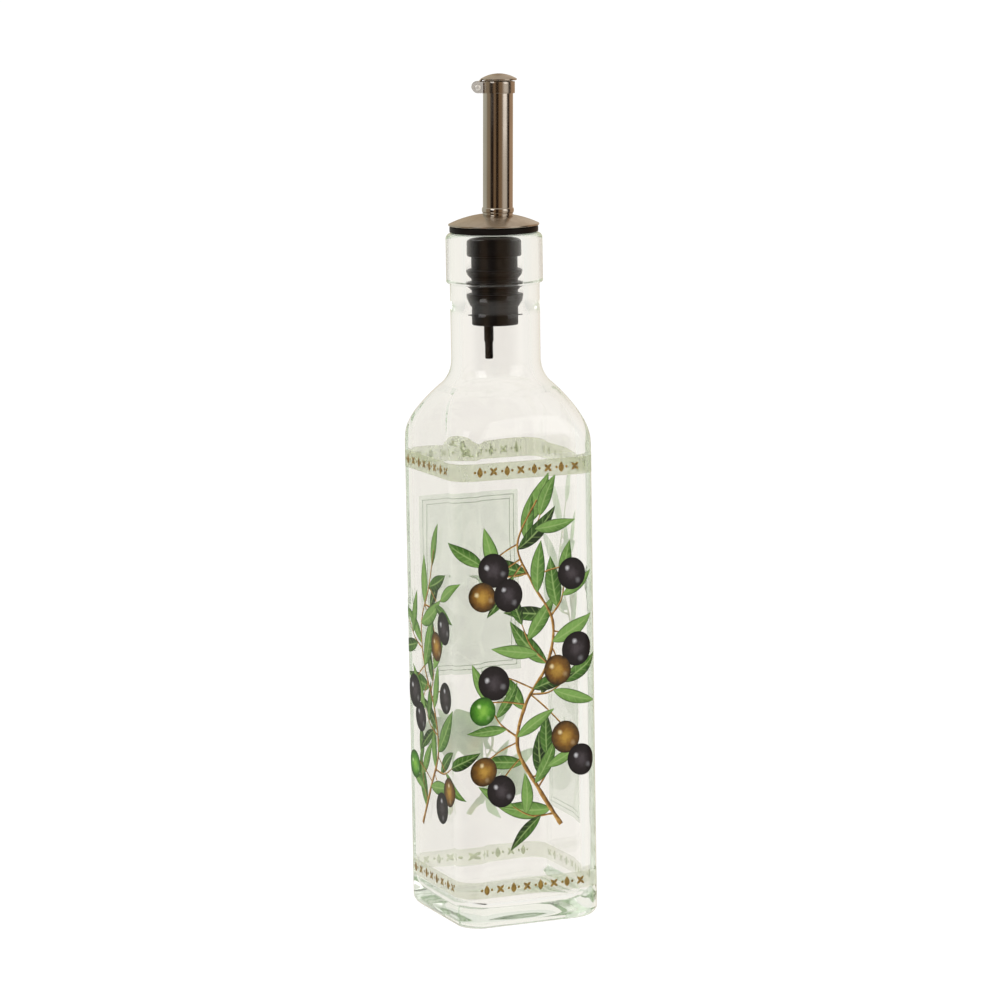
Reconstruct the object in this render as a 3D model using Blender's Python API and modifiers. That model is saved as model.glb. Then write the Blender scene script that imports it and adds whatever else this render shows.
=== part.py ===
"""Square clear-glass oil bottle with a push-in steel pourer and a hinged flip lid.

Metres, +Z up. The origin is the centre of the foot, on the surface that the bottle stands on.
The flat sides face X and Y. The pourer is built along X, with the lid's hinge on its -X side, and
is then turned a little in the neck, as it was pushed in.
"""

import math

import bmesh
import bpy
from mathutils import Matrix

MM = 0.001

# Bottle: square body, arched shoulders, round neck and a thick ring at the mouth.
SIDE = 50.0 * MM
CORNER_RADIUS = 7.0 * MM
WALL = 3.0 * MM
INNER_CORNER_RADIUS = 6.5 * MM
FOOT_ROUND = 3.5 * MM
FOOT_RING_WIDTH = 3.5 * MM
PUSH_UP = 1.8 * MM
FLOOR = 6.0 * MM
FLOOR_ROUND = 4.5 * MM
SHOULDER_RADIUS = 23.0 * MM
SHOULDER_Z = 160.2 * MM
NECK_RADIUS = 14.65 * MM
NECK_FILLET = 12.0 * MM
INNER_NECK_RADIUS = 11.3 * MM
SQUARE_BELOW = 157.0 * MM
ROUND_ABOVE = 181.5 * MM
RING_RADIUS = 15.8 * MM
RING_BOTTOM = 209.9 * MM
MOUTH = 226.0 * MM
BORE_RADIUS = 9.5 * MM
BORE_BOTTOM = 206.0 * MM
BORE_TAPER = 7.0 * MM
MOUTH_ROUND = 1.6 * MM
BORE_ROUND = 1.1 * MM
RING_ROUND = 0.7 * MM

# Stopper: a flange on the mouth, and a ribbed plug in the bore.
FLANGE_RADIUS = 14.5 * MM
FLANGE_THICK = 2.0 * MM
FLANGE_ROUND = 0.3 * MM
SEAT_RADIUS = 9.0 * MM
SEAT_BOTTOM = 218.7 * MM
SEAT_ROUND = 0.4 * MM
CORE_RADIUS = 7.6 * MM
STOPPER_BOTTOM = 196.3 * MM
RIB_RADIUS = 9.2 * MM
RIB_TOPS = (214.4 * MM, 210.5 * MM, 206.5 * MM)
RIB_HEIGHT = 2.8 * MM
FIN_RADIUS = 8.8 * MM
FIN_Z = 200.3 * MM
FIN_THICK = 0.5 * MM
SOCKET_BOTTOM = 200.9 * MM
CHANNEL_RADIUS = 3.3 * MM
CHANNEL_X = 3.15 * MM
CHANNEL_OVERLAP = 0.5 * MM

# Vent tube, pushed into the underside of the stopper on the hinge side.
VENT_X = -2.2 * MM
VENT_RADIUS = 1.55 * MM
VENT_SOCKET_TOP = 199.3 * MM
VENT_STEP_Z = 191.2 * MM
VENT_TIP_RADIUS = 1.3 * MM
VENT_TIP = 185.0 * MM

# Steel cover disc, and a pouring tube that stands off its centre and leans, in degrees.
POURER_TURN = -20.0
DISC_RADIUS = 14.85 * MM
DISC_SHEET = 0.5 * MM
DISC_RISE = 3.4 * MM
SPOUT_LEAN = 1.0
LEAN_Z = 229.0 * MM
TUBE_X = 1.35 * MM
TUBE_RADIUS = 4.9 * MM
TUBE_WALL = 0.5 * MM
TUBE_TOP = 275.3 * MM
TUBE_END = 221.9 * MM
BEAD_RADIUS = 5.25 * MM
BEAD_Z = 233.4 * MM
BEAD_HALF_HEIGHT = 0.9 * MM

# Split collar round the top of the tube. Its two ends stand out as ears that hold the hinge pin.
COLLAR_RADIUS = 5.5 * MM
COLLAR_BOTTOM = 271.4 * MM
COLLAR_TOP = 275.1 * MM
EAR_THICK = 0.5 * MM
EAR_GAP = 5.0 * MM
EAR_ROOT = 4.5 * MM
PIN_REACH = 6.7 * MM
PIN_RADIUS = 0.55 * MM
PIN_HEAD_RADIUS = 1.0 * MM
PIN_HEAD_THICK = 0.45 * MM

# Flip lid: a low dome on an arm that turns on the pin.
LID_RADIUS = 5.8 * MM
LID_SHIFT = 0.3 * MM
LID_EDGE = 0.45 * MM
LID_RISE = 1.65 * MM
LID_RECESS_RADIUS = 4.3 * MM
LID_RECESS = 0.7 * MM
ARM_WIDTH = 4.2 * MM
ARM_ROOT = 0.9 * MM
EYE_RADIUS = 1.45 * MM

# Clearances: between pieces that rest on each other, and round the tube and the pin.
GAP = 0.3 * MM
SNUG = 0.2 * MM

HALF = SIDE / 2
FLANGE_BOTTOM = MOUTH + GAP
FLANGE_TOP = FLANGE_BOTTOM + FLANGE_THICK
DISC_BOTTOM = FLANGE_TOP + SNUG
LID_BOTTOM = TUBE_TOP + GAP
EAR_RADIUS = (COLLAR_TOP - COLLAR_BOTTOM) / 2
EAR_OVERLAP = 0.05 * MM
PIN_Z = (COLLAR_BOTTOM + COLLAR_TOP) / 2
PIN_HALF_LENGTH = EAR_GAP / 2 + EAR_OVERLAP + EAR_THICK + SNUG

TURN_STEPS = 32
SMALL_TURN_STEPS = 20
CORNER_STEPS = 6
FLAT_SHARE = 0.15
ARC_STEPS = 4
CUT_PAST = 5 * MM


def clear_scene():
    """Empties the scene."""
    for obj in list(bpy.data.objects):
        bpy.data.objects.remove(obj)


def new_collection(name):
    """A collection of that name, linked to the scene."""
    made = bpy.data.collections.new(name)
    bpy.context.scene.collection.children.link(made)
    return made


def surface(name, colour, roughness, metallic=0.0, transmission=0.0):
    """A Principled material of one finish."""
    made = bpy.data.materials.new(name)
    made.use_nodes = True
    shader = made.node_tree.nodes["Principled BSDF"]
    shader.inputs["Base Color"].default_value = (*colour, 1.0)
    shader.inputs["Roughness"].default_value = roughness
    shader.inputs["Metallic"].default_value = metallic
    shader.inputs["Transmission Weight"].default_value = transmission
    return made


def empty(name, place, parent, collection):
    """An empty that carries a group of pieces."""
    made = bpy.data.objects.new(name, None)
    made.parent = parent
    made.matrix_basis = place
    collection.objects.link(made)
    return made


def add(obj, collection, material, parent=None):
    """Puts a piece in its collection, with its material and what it is mounted on."""
    collection.objects.link(obj)
    obj.data.materials.append(material)
    obj.parent = parent


def modify(obj, other, operation, collection, parent=None):
    """Cuts another shape out of a piece, or joins it on. The other shape isn't rendered."""
    collection.objects.link(other)
    other.hide_render = True
    other.display_type = "WIRE"
    other.parent = parent
    modifier = obj.modifiers.new(other.name, "BOOLEAN")
    modifier.operation = operation
    modifier.object = other


def arc(centre_x, centre_z, radius, start, end, steps=ARC_STEPS):
    """Points of an arc in the plane of a profile, from one angle to another in degrees."""
    for step in range(steps + 1):
        angle = math.radians(start + (end - start) * step / steps)
        yield centre_x + radius * math.cos(angle), centre_z + radius * math.sin(angle)


def squareness(z):
    """1 where the body is square, 0 where the neck is round, and a smooth change between."""
    share = (ROUND_ABOVE - z) / (ROUND_ABOVE - SQUARE_BELOW)
    share = min(1.0, max(0.0, share))
    return share * share * (3 - 2 * share)


def quarter_outline(half, corner, square):
    """A quarter of a section: a square's round corner, blended into a circle of the same width."""
    flat = half - corner
    for step in range(-1, CORNER_STEPS + 1):
        if step < 0:
            place = 0.0
            square_x, square_y = half, 0.0
        else:
            place = FLAT_SHARE + (1 - 2 * FLAT_SHARE) * step / CORNER_STEPS
            bend = math.radians(90 * step / CORNER_STEPS)
            square_x = flat + corner * math.cos(bend)
            square_y = flat + corner * math.sin(bend)
        angle = math.radians(90 * place)
        round_x, round_y = half * math.cos(angle), half * math.sin(angle)
        yield round_x + (square_x - round_x) * square, round_y + (square_y - round_y) * square


def section(half, corner, z):
    """The whole outline of the bottle at one height, turned from its first quarter."""
    quarter = list(quarter_outline(half, min(corner, half), squareness(z)))
    outline = [(x, y, z) for x, y in quarter]
    outline += [(-y, x, z) for x, y in quarter]
    outline += [(-x, -y, z) for x, y in quarter]
    outline += [(y, -x, z) for x, y in quarter]
    return outline


def outer_profile():
    """Half widths and heights of the outside, from inside the push-up to the lip of the bore."""
    foot = HALF - FOOT_ROUND
    hollow = foot - FOOT_RING_WIDTH
    fillet_z = SHOULDER_Z + (SHOULDER_RADIUS + NECK_FILLET) * math.sin(math.radians(45))
    yield hollow * 0.4, PUSH_UP * 0.93
    yield hollow * 0.8, PUSH_UP * 0.5
    yield hollow, 0.0
    yield from arc(foot, FOOT_ROUND, FOOT_ROUND, -90, 0)
    yield from arc(HALF - SHOULDER_RADIUS, SHOULDER_Z, SHOULDER_RADIUS, 0, 45, 6)
    yield from list(arc(NECK_RADIUS + NECK_FILLET, fillet_z, NECK_FILLET, 225, 180))[1:]
    yield NECK_RADIUS, RING_BOTTOM
    yield from arc(RING_RADIUS - RING_ROUND, RING_BOTTOM + RING_ROUND, RING_ROUND, -90, 0, 2)
    yield from arc(RING_RADIUS - MOUTH_ROUND, MOUTH - MOUTH_ROUND, MOUTH_ROUND, 0, 90)
    yield from arc(BORE_RADIUS + BORE_ROUND, MOUTH - BORE_ROUND, BORE_ROUND, 90, 180, 3)


def inner_profile():
    """Half widths and heights of the inside, from the bottom of the bore to the floor."""
    inner = HALF - WALL
    shoulder = SHOULDER_RADIUS - WALL
    fillet = NECK_FILLET + NECK_RADIUS - INNER_NECK_RADIUS
    fillet_z = SHOULDER_Z + (SHOULDER_RADIUS + NECK_FILLET) * math.sin(math.radians(45))
    yield BORE_RADIUS, BORE_BOTTOM
    yield (BORE_RADIUS + INNER_NECK_RADIUS) / 2, BORE_BOTTOM - BORE_TAPER / 2
    yield INNER_NECK_RADIUS, BORE_BOTTOM - BORE_TAPER
    yield from arc(INNER_NECK_RADIUS + fillet, fillet_z, fillet, 180, 222)
    yield from arc(inner - shoulder, SHOULDER_Z, shoulder, 42, 0, 6)
    yield from arc(inner - FLOOR_ROUND, FLOOR + FLOOR_ROUND, FLOOR_ROUND, 0, -90)


def loft(name, outlines, first_centre, last_centre):
    """A closed body through a row of outlines, closed at both ends round a centre point."""
    shape = bmesh.new()
    rings = [[shape.verts.new(point) for point in outline] for outline in outlines]
    count = len(rings[0])
    for low, high in zip(rings, rings[1:]):
        for i in range(count):
            j = (i + 1) % count
            shape.faces.new((low[i], low[j], high[j], high[i]))
    first = shape.verts.new(first_centre)
    last = shape.verts.new(last_centre)
    for i in range(count):
        j = (i + 1) % count
        shape.faces.new((rings[0][j], rings[0][i], first))
        shape.faces.new((rings[-1][i], rings[-1][j], last))
    return finished(name, shape, smooth=True)


def finished(name, shape, smooth=False):
    """The object of a bmesh, which is freed. Smooth shading keeps the true edges sharp."""
    mesh = bpy.data.meshes.new(name)
    shape.to_mesh(mesh)
    shape.free()
    if smooth:
        mesh.shade_smooth()
        mesh.set_sharp_from_angle(angle=math.radians(35))
    return bpy.data.objects.new(name, mesh)


def bottle_glass():
    """The glass: the outside and the inside in one loft, which turns in over the mouth."""
    outlines = [section(half, CORNER_RADIUS, z) for half, z in outer_profile()]
    outlines += [section(half, INNER_CORNER_RADIUS, z) for half, z in inner_profile()]
    return loft("bottle_glass", outlines, (0, 0, PUSH_UP), (0, 0, FLOOR))


def turned(name, profile, steps=TURN_STEPS, closed=False):
    """A turned piece. Its profile runs from the top down the outer side, in radius and height."""
    mesh = bpy.data.meshes.new(name)
    points = [(radius, 0, z) for radius, z in profile]
    edges = [(i, i + 1) for i in range(len(points) - 1)]
    if closed:
        edges.append((len(points) - 1, 0))
    mesh.from_pydata(points, edges, [])
    made = bpy.data.objects.new(name, mesh)
    screw = made.modifiers.new("turn", "SCREW")
    screw.steps = steps
    screw.render_steps = steps
    screw.use_merge_vertices = True
    screw.merge_threshold = 0.00001
    screw.use_smooth_shade = True
    return made


def cylinder(name, radius, length, place, steps=TURN_STEPS):
    """A cylinder along Z, moved to its place."""
    shape = bmesh.new()
    bmesh.ops.create_cone(
        shape,
        cap_ends=True,
        segments=steps,
        radius1=radius,
        radius2=radius,
        depth=length,
        matrix=place,
    )
    return finished(name, shape)


def upright(name, radius, low, high, x=0.0, steps=TURN_STEPS):
    """An upright cylinder between two heights."""
    place = Matrix.Translation((x, 0, (low + high) / 2))
    return cylinder(name, radius, high - low, place, steps)


def across(name, radius):
    """A cylinder along Y through the hinge, longer than its pin."""
    place = Matrix.Translation((-PIN_REACH, 0, PIN_Z)) @ Matrix.Rotation(math.radians(90), 4, "X")
    return cylinder(name, radius, 2 * PIN_HALF_LENGTH + CUT_PAST, place, SMALL_TURN_STEPS)


def box(name, low, high):
    """A box between two corners."""
    size = [b - a for a, b in zip(low, high)]
    middle = [(a + b) / 2 for a, b in zip(low, high)]
    shape = bmesh.new()
    bmesh.ops.create_cube(shape, size=1, matrix=Matrix.Translation(middle) @ Matrix.Diagonal((*size, 1)))
    return finished(name, shape)


def plate(name, outline, thickness, y, collection):
    """An upright flat plate from an outline in X and Z, centred on a plane of constant Y."""
    curve = bpy.data.curves.new(name, "CURVE")
    curve.dimensions = "2D"
    curve.fill_mode = "BOTH"
    curve.extrude = thickness / 2
    spline = curve.splines.new("POLY")
    spline.points.add(len(outline) - 1)
    for point, (x, z) in zip(spline.points, outline):
        point.co = (x, z, 0, 1)
    spline.use_cyclic_u = True
    drawn = bpy.data.objects.new(name + "_outline", curve)
    collection.objects.link(drawn)
    bpy.context.view_layer.update()
    graph = bpy.context.evaluated_depsgraph_get()
    mesh = bpy.data.meshes.new_from_object(drawn.evaluated_get(graph))
    bpy.data.objects.remove(drawn)
    shape = bmesh.new()
    shape.from_mesh(mesh)
    bpy.data.meshes.remove(mesh)
    bmesh.ops.remove_doubles(shape, verts=shape.verts, dist=0.000001)
    bmesh.ops.recalc_face_normals(shape, faces=shape.faces)
    stand_up = Matrix.Translation((0, y, 0)) @ Matrix.Rotation(math.radians(90), 4, "X")
    bmesh.ops.transform(shape, matrix=stand_up, verts=shape.verts)
    return finished(name, shape)


def rib_profile(top):
    """One sealing rib: a sharp upper edge and a rounded underside."""
    yield CORE_RADIUS, top
    yield RIB_RADIUS, top
    yield RIB_RADIUS, top - RIB_HEIGHT * 0.12
    yield RIB_RADIUS - 0.3 * MM, top - RIB_HEIGHT * 0.5
    yield CORE_RADIUS + 0.5 * MM, top - RIB_HEIGHT * 0.85
    yield CORE_RADIUS, top - RIB_HEIGHT


def stopper_profile():
    """Flange, seat, ribs and fin, from the middle of the top down to the middle of the underside."""
    yield 0, FLANGE_TOP
    yield FLANGE_RADIUS - FLANGE_ROUND, FLANGE_TOP
    yield FLANGE_RADIUS, FLANGE_TOP - FLANGE_ROUND
    yield FLANGE_RADIUS - FLANGE_ROUND / 2, FLANGE_BOTTOM + FLANGE_ROUND
    yield FLANGE_RADIUS - FLANGE_ROUND, FLANGE_BOTTOM
    yield SEAT_RADIUS, FLANGE_BOTTOM
    yield SEAT_RADIUS, SEAT_BOTTOM + SEAT_ROUND
    yield SEAT_RADIUS - SEAT_ROUND, SEAT_BOTTOM
    yield CORE_RADIUS, SEAT_BOTTOM
    for top in RIB_TOPS:
        yield from rib_profile(top)
    yield CORE_RADIUS, FIN_Z + FIN_THICK / 2
    yield FIN_RADIUS, FIN_Z + FIN_THICK / 2
    yield FIN_RADIUS, FIN_Z - FIN_THICK / 2
    yield CORE_RADIUS, FIN_Z - FIN_THICK / 2
    yield CORE_RADIUS, STOPPER_BOTTOM
    yield 0, STOPPER_BOTTOM


def stopper(cutters, pourer, spout):
    """The stopper, with the tube's deep socket, and the channel and the vent's socket in its floor."""
    made = turned("stopper", stopper_profile())
    socket = upright("socket_cutter", TUBE_RADIUS + SNUG, SOCKET_BOTTOM, FLANGE_TOP + CUT_PAST)
    modify(made, socket, "DIFFERENCE", cutters, spout)
    channel_top = SOCKET_BOTTOM + CHANNEL_OVERLAP
    channel = upright("channel_cutter", CHANNEL_RADIUS, STOPPER_BOTTOM - CUT_PAST, channel_top, CHANNEL_X, 24)
    modify(made, channel, "DIFFERENCE", cutters, pourer)
    vent = upright("vent_cutter", VENT_RADIUS + SNUG, STOPPER_BOTTOM - CUT_PAST, VENT_SOCKET_TOP, VENT_X, 24)
    modify(made, vent, "DIFFERENCE", cutters, pourer)
    return made


def vent_tube():
    """The thin tube under the stopper, stepped, with a blunt tip."""
    top = VENT_SOCKET_TOP - GAP
    profile = [
        (0, top),
        (VENT_RADIUS, top),
        (VENT_RADIUS, VENT_STEP_Z),
        (VENT_TIP_RADIUS, VENT_STEP_Z - 1.0 * MM),
        (VENT_TIP_RADIUS, VENT_TIP + 0.8 * MM),
        (VENT_TIP_RADIUS * 0.55, VENT_TIP),
        (0, VENT_TIP),
    ]
    made = turned("vent_tube", profile, SMALL_TURN_STEPS)
    made.location.x = VENT_X
    return made


def dome(radius, low, rise, steps):
    """Points of a shallow dome from its top on the axis down to its rim."""
    sphere = (radius * radius + rise * rise) / (2 * rise)
    reach = math.asin(radius / sphere)
    for step in range(steps + 1):
        angle = reach * step / steps
        yield sphere * math.sin(angle), low + rise - sphere * (1 - math.cos(angle))


def cover_disc(cutters, spout):
    """The domed steel disc over the stopper's flange, with a hole for the tube."""
    outside = list(dome(DISC_RADIUS, DISC_BOTTOM + DISC_SHEET, DISC_RISE, 6))
    inside = list(dome(DISC_RADIUS - DISC_SHEET, DISC_BOTTOM, DISC_RISE, 6))
    made = turned("cover_disc", [*outside, (DISC_RADIUS, DISC_BOTTOM), *reversed(inside)])
    hole = upright("disc_hole_cutter", TUBE_RADIUS + SNUG, DISC_BOTTOM - CUT_PAST, DISC_BOTTOM + 2 * CUT_PAST)
    modify(made, hole, "DIFFERENCE", cutters, spout)
    return made


def pour_tube():
    """The steel tube, open at both ends, with a rounded bead just over the disc."""
    bore = TUBE_RADIUS - TUBE_WALL
    swell = BEAD_RADIUS - TUBE_RADIUS
    profile = [(bore, TUBE_TOP), (TUBE_RADIUS, TUBE_TOP)]
    for step in range(7):
        angle = math.radians(90 - 30 * step)
        profile.append((TUBE_RADIUS + swell * math.cos(angle), BEAD_Z + BEAD_HALF_HEIGHT * math.sin(angle)))
    profile += [(TUBE_RADIUS, TUBE_END), (bore, TUBE_END)]
    return turned("pour_tube", profile, closed=True)


def ear_outline():
    """An ear in X and Z: straight from the collar, and round where it holds the pin."""
    yield -EAR_ROOT, PIN_Z - EAR_RADIUS
    yield -EAR_ROOT, PIN_Z + EAR_RADIUS
    yield from arc(-PIN_REACH, PIN_Z, EAR_RADIUS, 90, 270, 10)


def lid_collar(cutters, spout):
    """The split band round the tube, with its ears and the pin's holes."""
    bore = TUBE_RADIUS + SNUG
    profile = [
        (bore, COLLAR_TOP),
        (COLLAR_RADIUS, COLLAR_TOP),
        (COLLAR_RADIUS, COLLAR_BOTTOM),
        (bore, COLLAR_BOTTOM),
    ]
    made = turned("lid_collar", profile, closed=True)
    split = box(
        "collar_split_cutter",
        (-COLLAR_RADIUS - CUT_PAST, -EAR_GAP / 2, COLLAR_BOTTOM - CUT_PAST),
        (0, EAR_GAP / 2, COLLAR_TOP + CUT_PAST),
    )
    modify(made, split, "DIFFERENCE", cutters, spout)
    for side, name in ((-1, "near_ear"), (1, "far_ear")):
        y = side * ((EAR_GAP + EAR_THICK) / 2 + EAR_OVERLAP)
        ear = plate(name, list(ear_outline()), EAR_THICK, y, cutters)
        modify(made, ear, "UNION", cutters, spout)
    modify(made, across("pin_hole_cutter", PIN_RADIUS + SNUG), "DIFFERENCE", cutters, spout)
    return made


def hinge_pin():
    """The rivet through both ears: a shank with a low head at each end."""
    outside = PIN_HALF_LENGTH + PIN_HEAD_THICK
    shoulder = outside - PIN_HEAD_THICK * 0.6
    upper = [
        (0, outside),
        (PIN_HEAD_RADIUS * 0.7, outside - 0.05 * MM),
        (PIN_HEAD_RADIUS, shoulder),
        (PIN_HEAD_RADIUS, PIN_HALF_LENGTH),
        (PIN_RADIUS, PIN_HALF_LENGTH),
    ]
    lower = [(radius, -z) for radius, z in reversed(upper)]
    made = turned("hinge_pin", upper + lower, SMALL_TURN_STEPS)
    made.location = (-PIN_REACH, 0, PIN_Z)
    made.rotation_euler.x = math.radians(90)
    return made


def arm_outline():
    """The lid's arm in X and Z: the eye round the pin, and a short strap up to the lid's rim."""
    rim_x = LID_SHIFT - LID_RADIUS
    yield from arc(-PIN_REACH, PIN_Z, EYE_RADIUS, 120, 360, 14)
    yield -PIN_REACH + EYE_RADIUS, LID_BOTTOM + LID_EDGE * 0.3
    yield rim_x + ARM_ROOT, LID_BOTTOM + LID_EDGE * 0.5
    yield rim_x + ARM_ROOT, LID_BOTTOM + LID_EDGE * 1.2
    yield rim_x + 0.05 * MM, LID_BOTTOM + LID_EDGE * 0.9
    yield rim_x - 0.6 * MM, LID_BOTTOM - 0.4 * MM


def flip_lid(cutters, spout, hinge):
    """The domed lid and its arm in one piece, hung from the hinge."""
    outside = list(dome(LID_RADIUS, LID_BOTTOM + LID_EDGE, LID_RISE, 5))
    recess = list(dome(LID_RECESS_RADIUS - 0.2 * MM, LID_BOTTOM + 0.1 * MM, LID_RECESS, 3))
    underside = [(LID_RADIUS, LID_BOTTOM), (LID_RECESS_RADIUS, LID_BOTTOM), *reversed(recess)]
    made = turned("flip_lid", [(radius, z - PIN_Z) for radius, z in outside + underside])
    made.location.x = PIN_REACH + LID_SHIFT
    made.parent = hinge
    arm = plate("lid_arm", list(arm_outline()), ARM_WIDTH, 0, cutters)
    modify(made, arm, "UNION", cutters, spout)
    modify(made, across("eye_hole_cutter", PIN_RADIUS + GAP), "DIFFERENCE", cutters, spout)
    return made


def main():
    """Builds the bottle."""
    clear_scene()
    parts = new_collection("oil_bottle")
    cutters = new_collection("cutters")
    glass = surface("clear_glass", (0.93, 0.96, 0.93), 0.02, transmission=1.0)
    black = surface("black_stopper", (0.03, 0.025, 0.02), 0.5)
    steel = surface("bright_steel", (0.62, 0.58, 0.52), 0.22, metallic=1.0)

    turn = Matrix.Rotation(math.radians(POURER_TURN), 4, "Z")
    lean = Matrix.Rotation(math.radians(SPOUT_LEAN), 4, "Y")
    lean_about_foot = Matrix.Translation((TUBE_X, 0, LEAN_Z)) @ lean @ Matrix.Translation((0, 0, -LEAN_Z))
    pourer = empty("pourer", turn, None, parts)
    spout = empty("spout", lean_about_foot, pourer, parts)
    hinge = empty("lid_hinge", Matrix.Translation((-PIN_REACH, 0, PIN_Z)), spout, parts)

    add(bottle_glass(), parts, glass)
    add(stopper(cutters, pourer, spout), parts, black, pourer)
    add(vent_tube(), parts, black, pourer)
    add(cover_disc(cutters, spout), parts, steel, pourer)
    add(pour_tube(), parts, steel, spout)
    add(lid_collar(cutters, spout), parts, steel, spout)
    add(hinge_pin(), parts, steel, spout)
    add(flip_lid(cutters, spout, hinge), parts, steel, hinge)


main()
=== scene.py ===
"""Looks of a square glass oil bottle with a steel pourer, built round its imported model.

Sizes are in millimetres in the classes below, and the meshes are made in metres, +Z up, with the
origin at the centre of the foot. The flat sides face X and Y. The camera sees the -Y side, which is
called the front, and the -X side, which is called the left.
"""

import logging
import math
import random
from collections.abc import Iterable, Iterator, Sequence
from dataclasses import dataclass, field
from enum import Enum

import bmesh
import bpy
from mathutils import Matrix, Vector, noise


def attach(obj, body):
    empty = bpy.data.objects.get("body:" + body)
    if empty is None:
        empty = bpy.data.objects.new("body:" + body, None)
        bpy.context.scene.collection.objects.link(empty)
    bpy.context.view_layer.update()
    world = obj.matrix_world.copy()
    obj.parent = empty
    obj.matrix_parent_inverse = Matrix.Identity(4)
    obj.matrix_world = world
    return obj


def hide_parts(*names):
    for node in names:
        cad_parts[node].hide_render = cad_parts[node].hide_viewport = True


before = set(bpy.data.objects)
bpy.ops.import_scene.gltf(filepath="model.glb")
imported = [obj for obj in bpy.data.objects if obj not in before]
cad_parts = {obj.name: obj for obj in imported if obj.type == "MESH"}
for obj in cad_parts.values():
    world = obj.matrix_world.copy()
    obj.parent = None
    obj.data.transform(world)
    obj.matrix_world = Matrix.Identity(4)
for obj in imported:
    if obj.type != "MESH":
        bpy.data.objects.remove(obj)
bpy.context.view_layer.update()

Point = tuple[float, float]
Corner = tuple[float, float, float]
Colour = tuple[float, float, float]
Stop = tuple[float, Colour]
Grid = list[list[Point]]
Marks = list[list[Corner]]

MM = 0.001
MARK = "print_place"
VIEW_TURN = 22.64
PIN_REACH = 6.7
TINY_RADIUS = 1e-6
CAD = {name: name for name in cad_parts}

log = logging.getLogger("oil_bottle")


def srgb(red: float, green: float, blue: float) -> Colour:
    """Turns screen values from 0 to 255 into Blender's linear light.

    Args:
        red: The red value.
        green: The green value.
        blue: The blue value.

    Returns:
        The linear colour.
    """
    shares = (red / 255, green / 255, blue / 255)
    return tuple(x / 12.92 if x <= 0.04045 else ((x + 0.055) / 1.055) ** 2.4 for x in shares)


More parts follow.
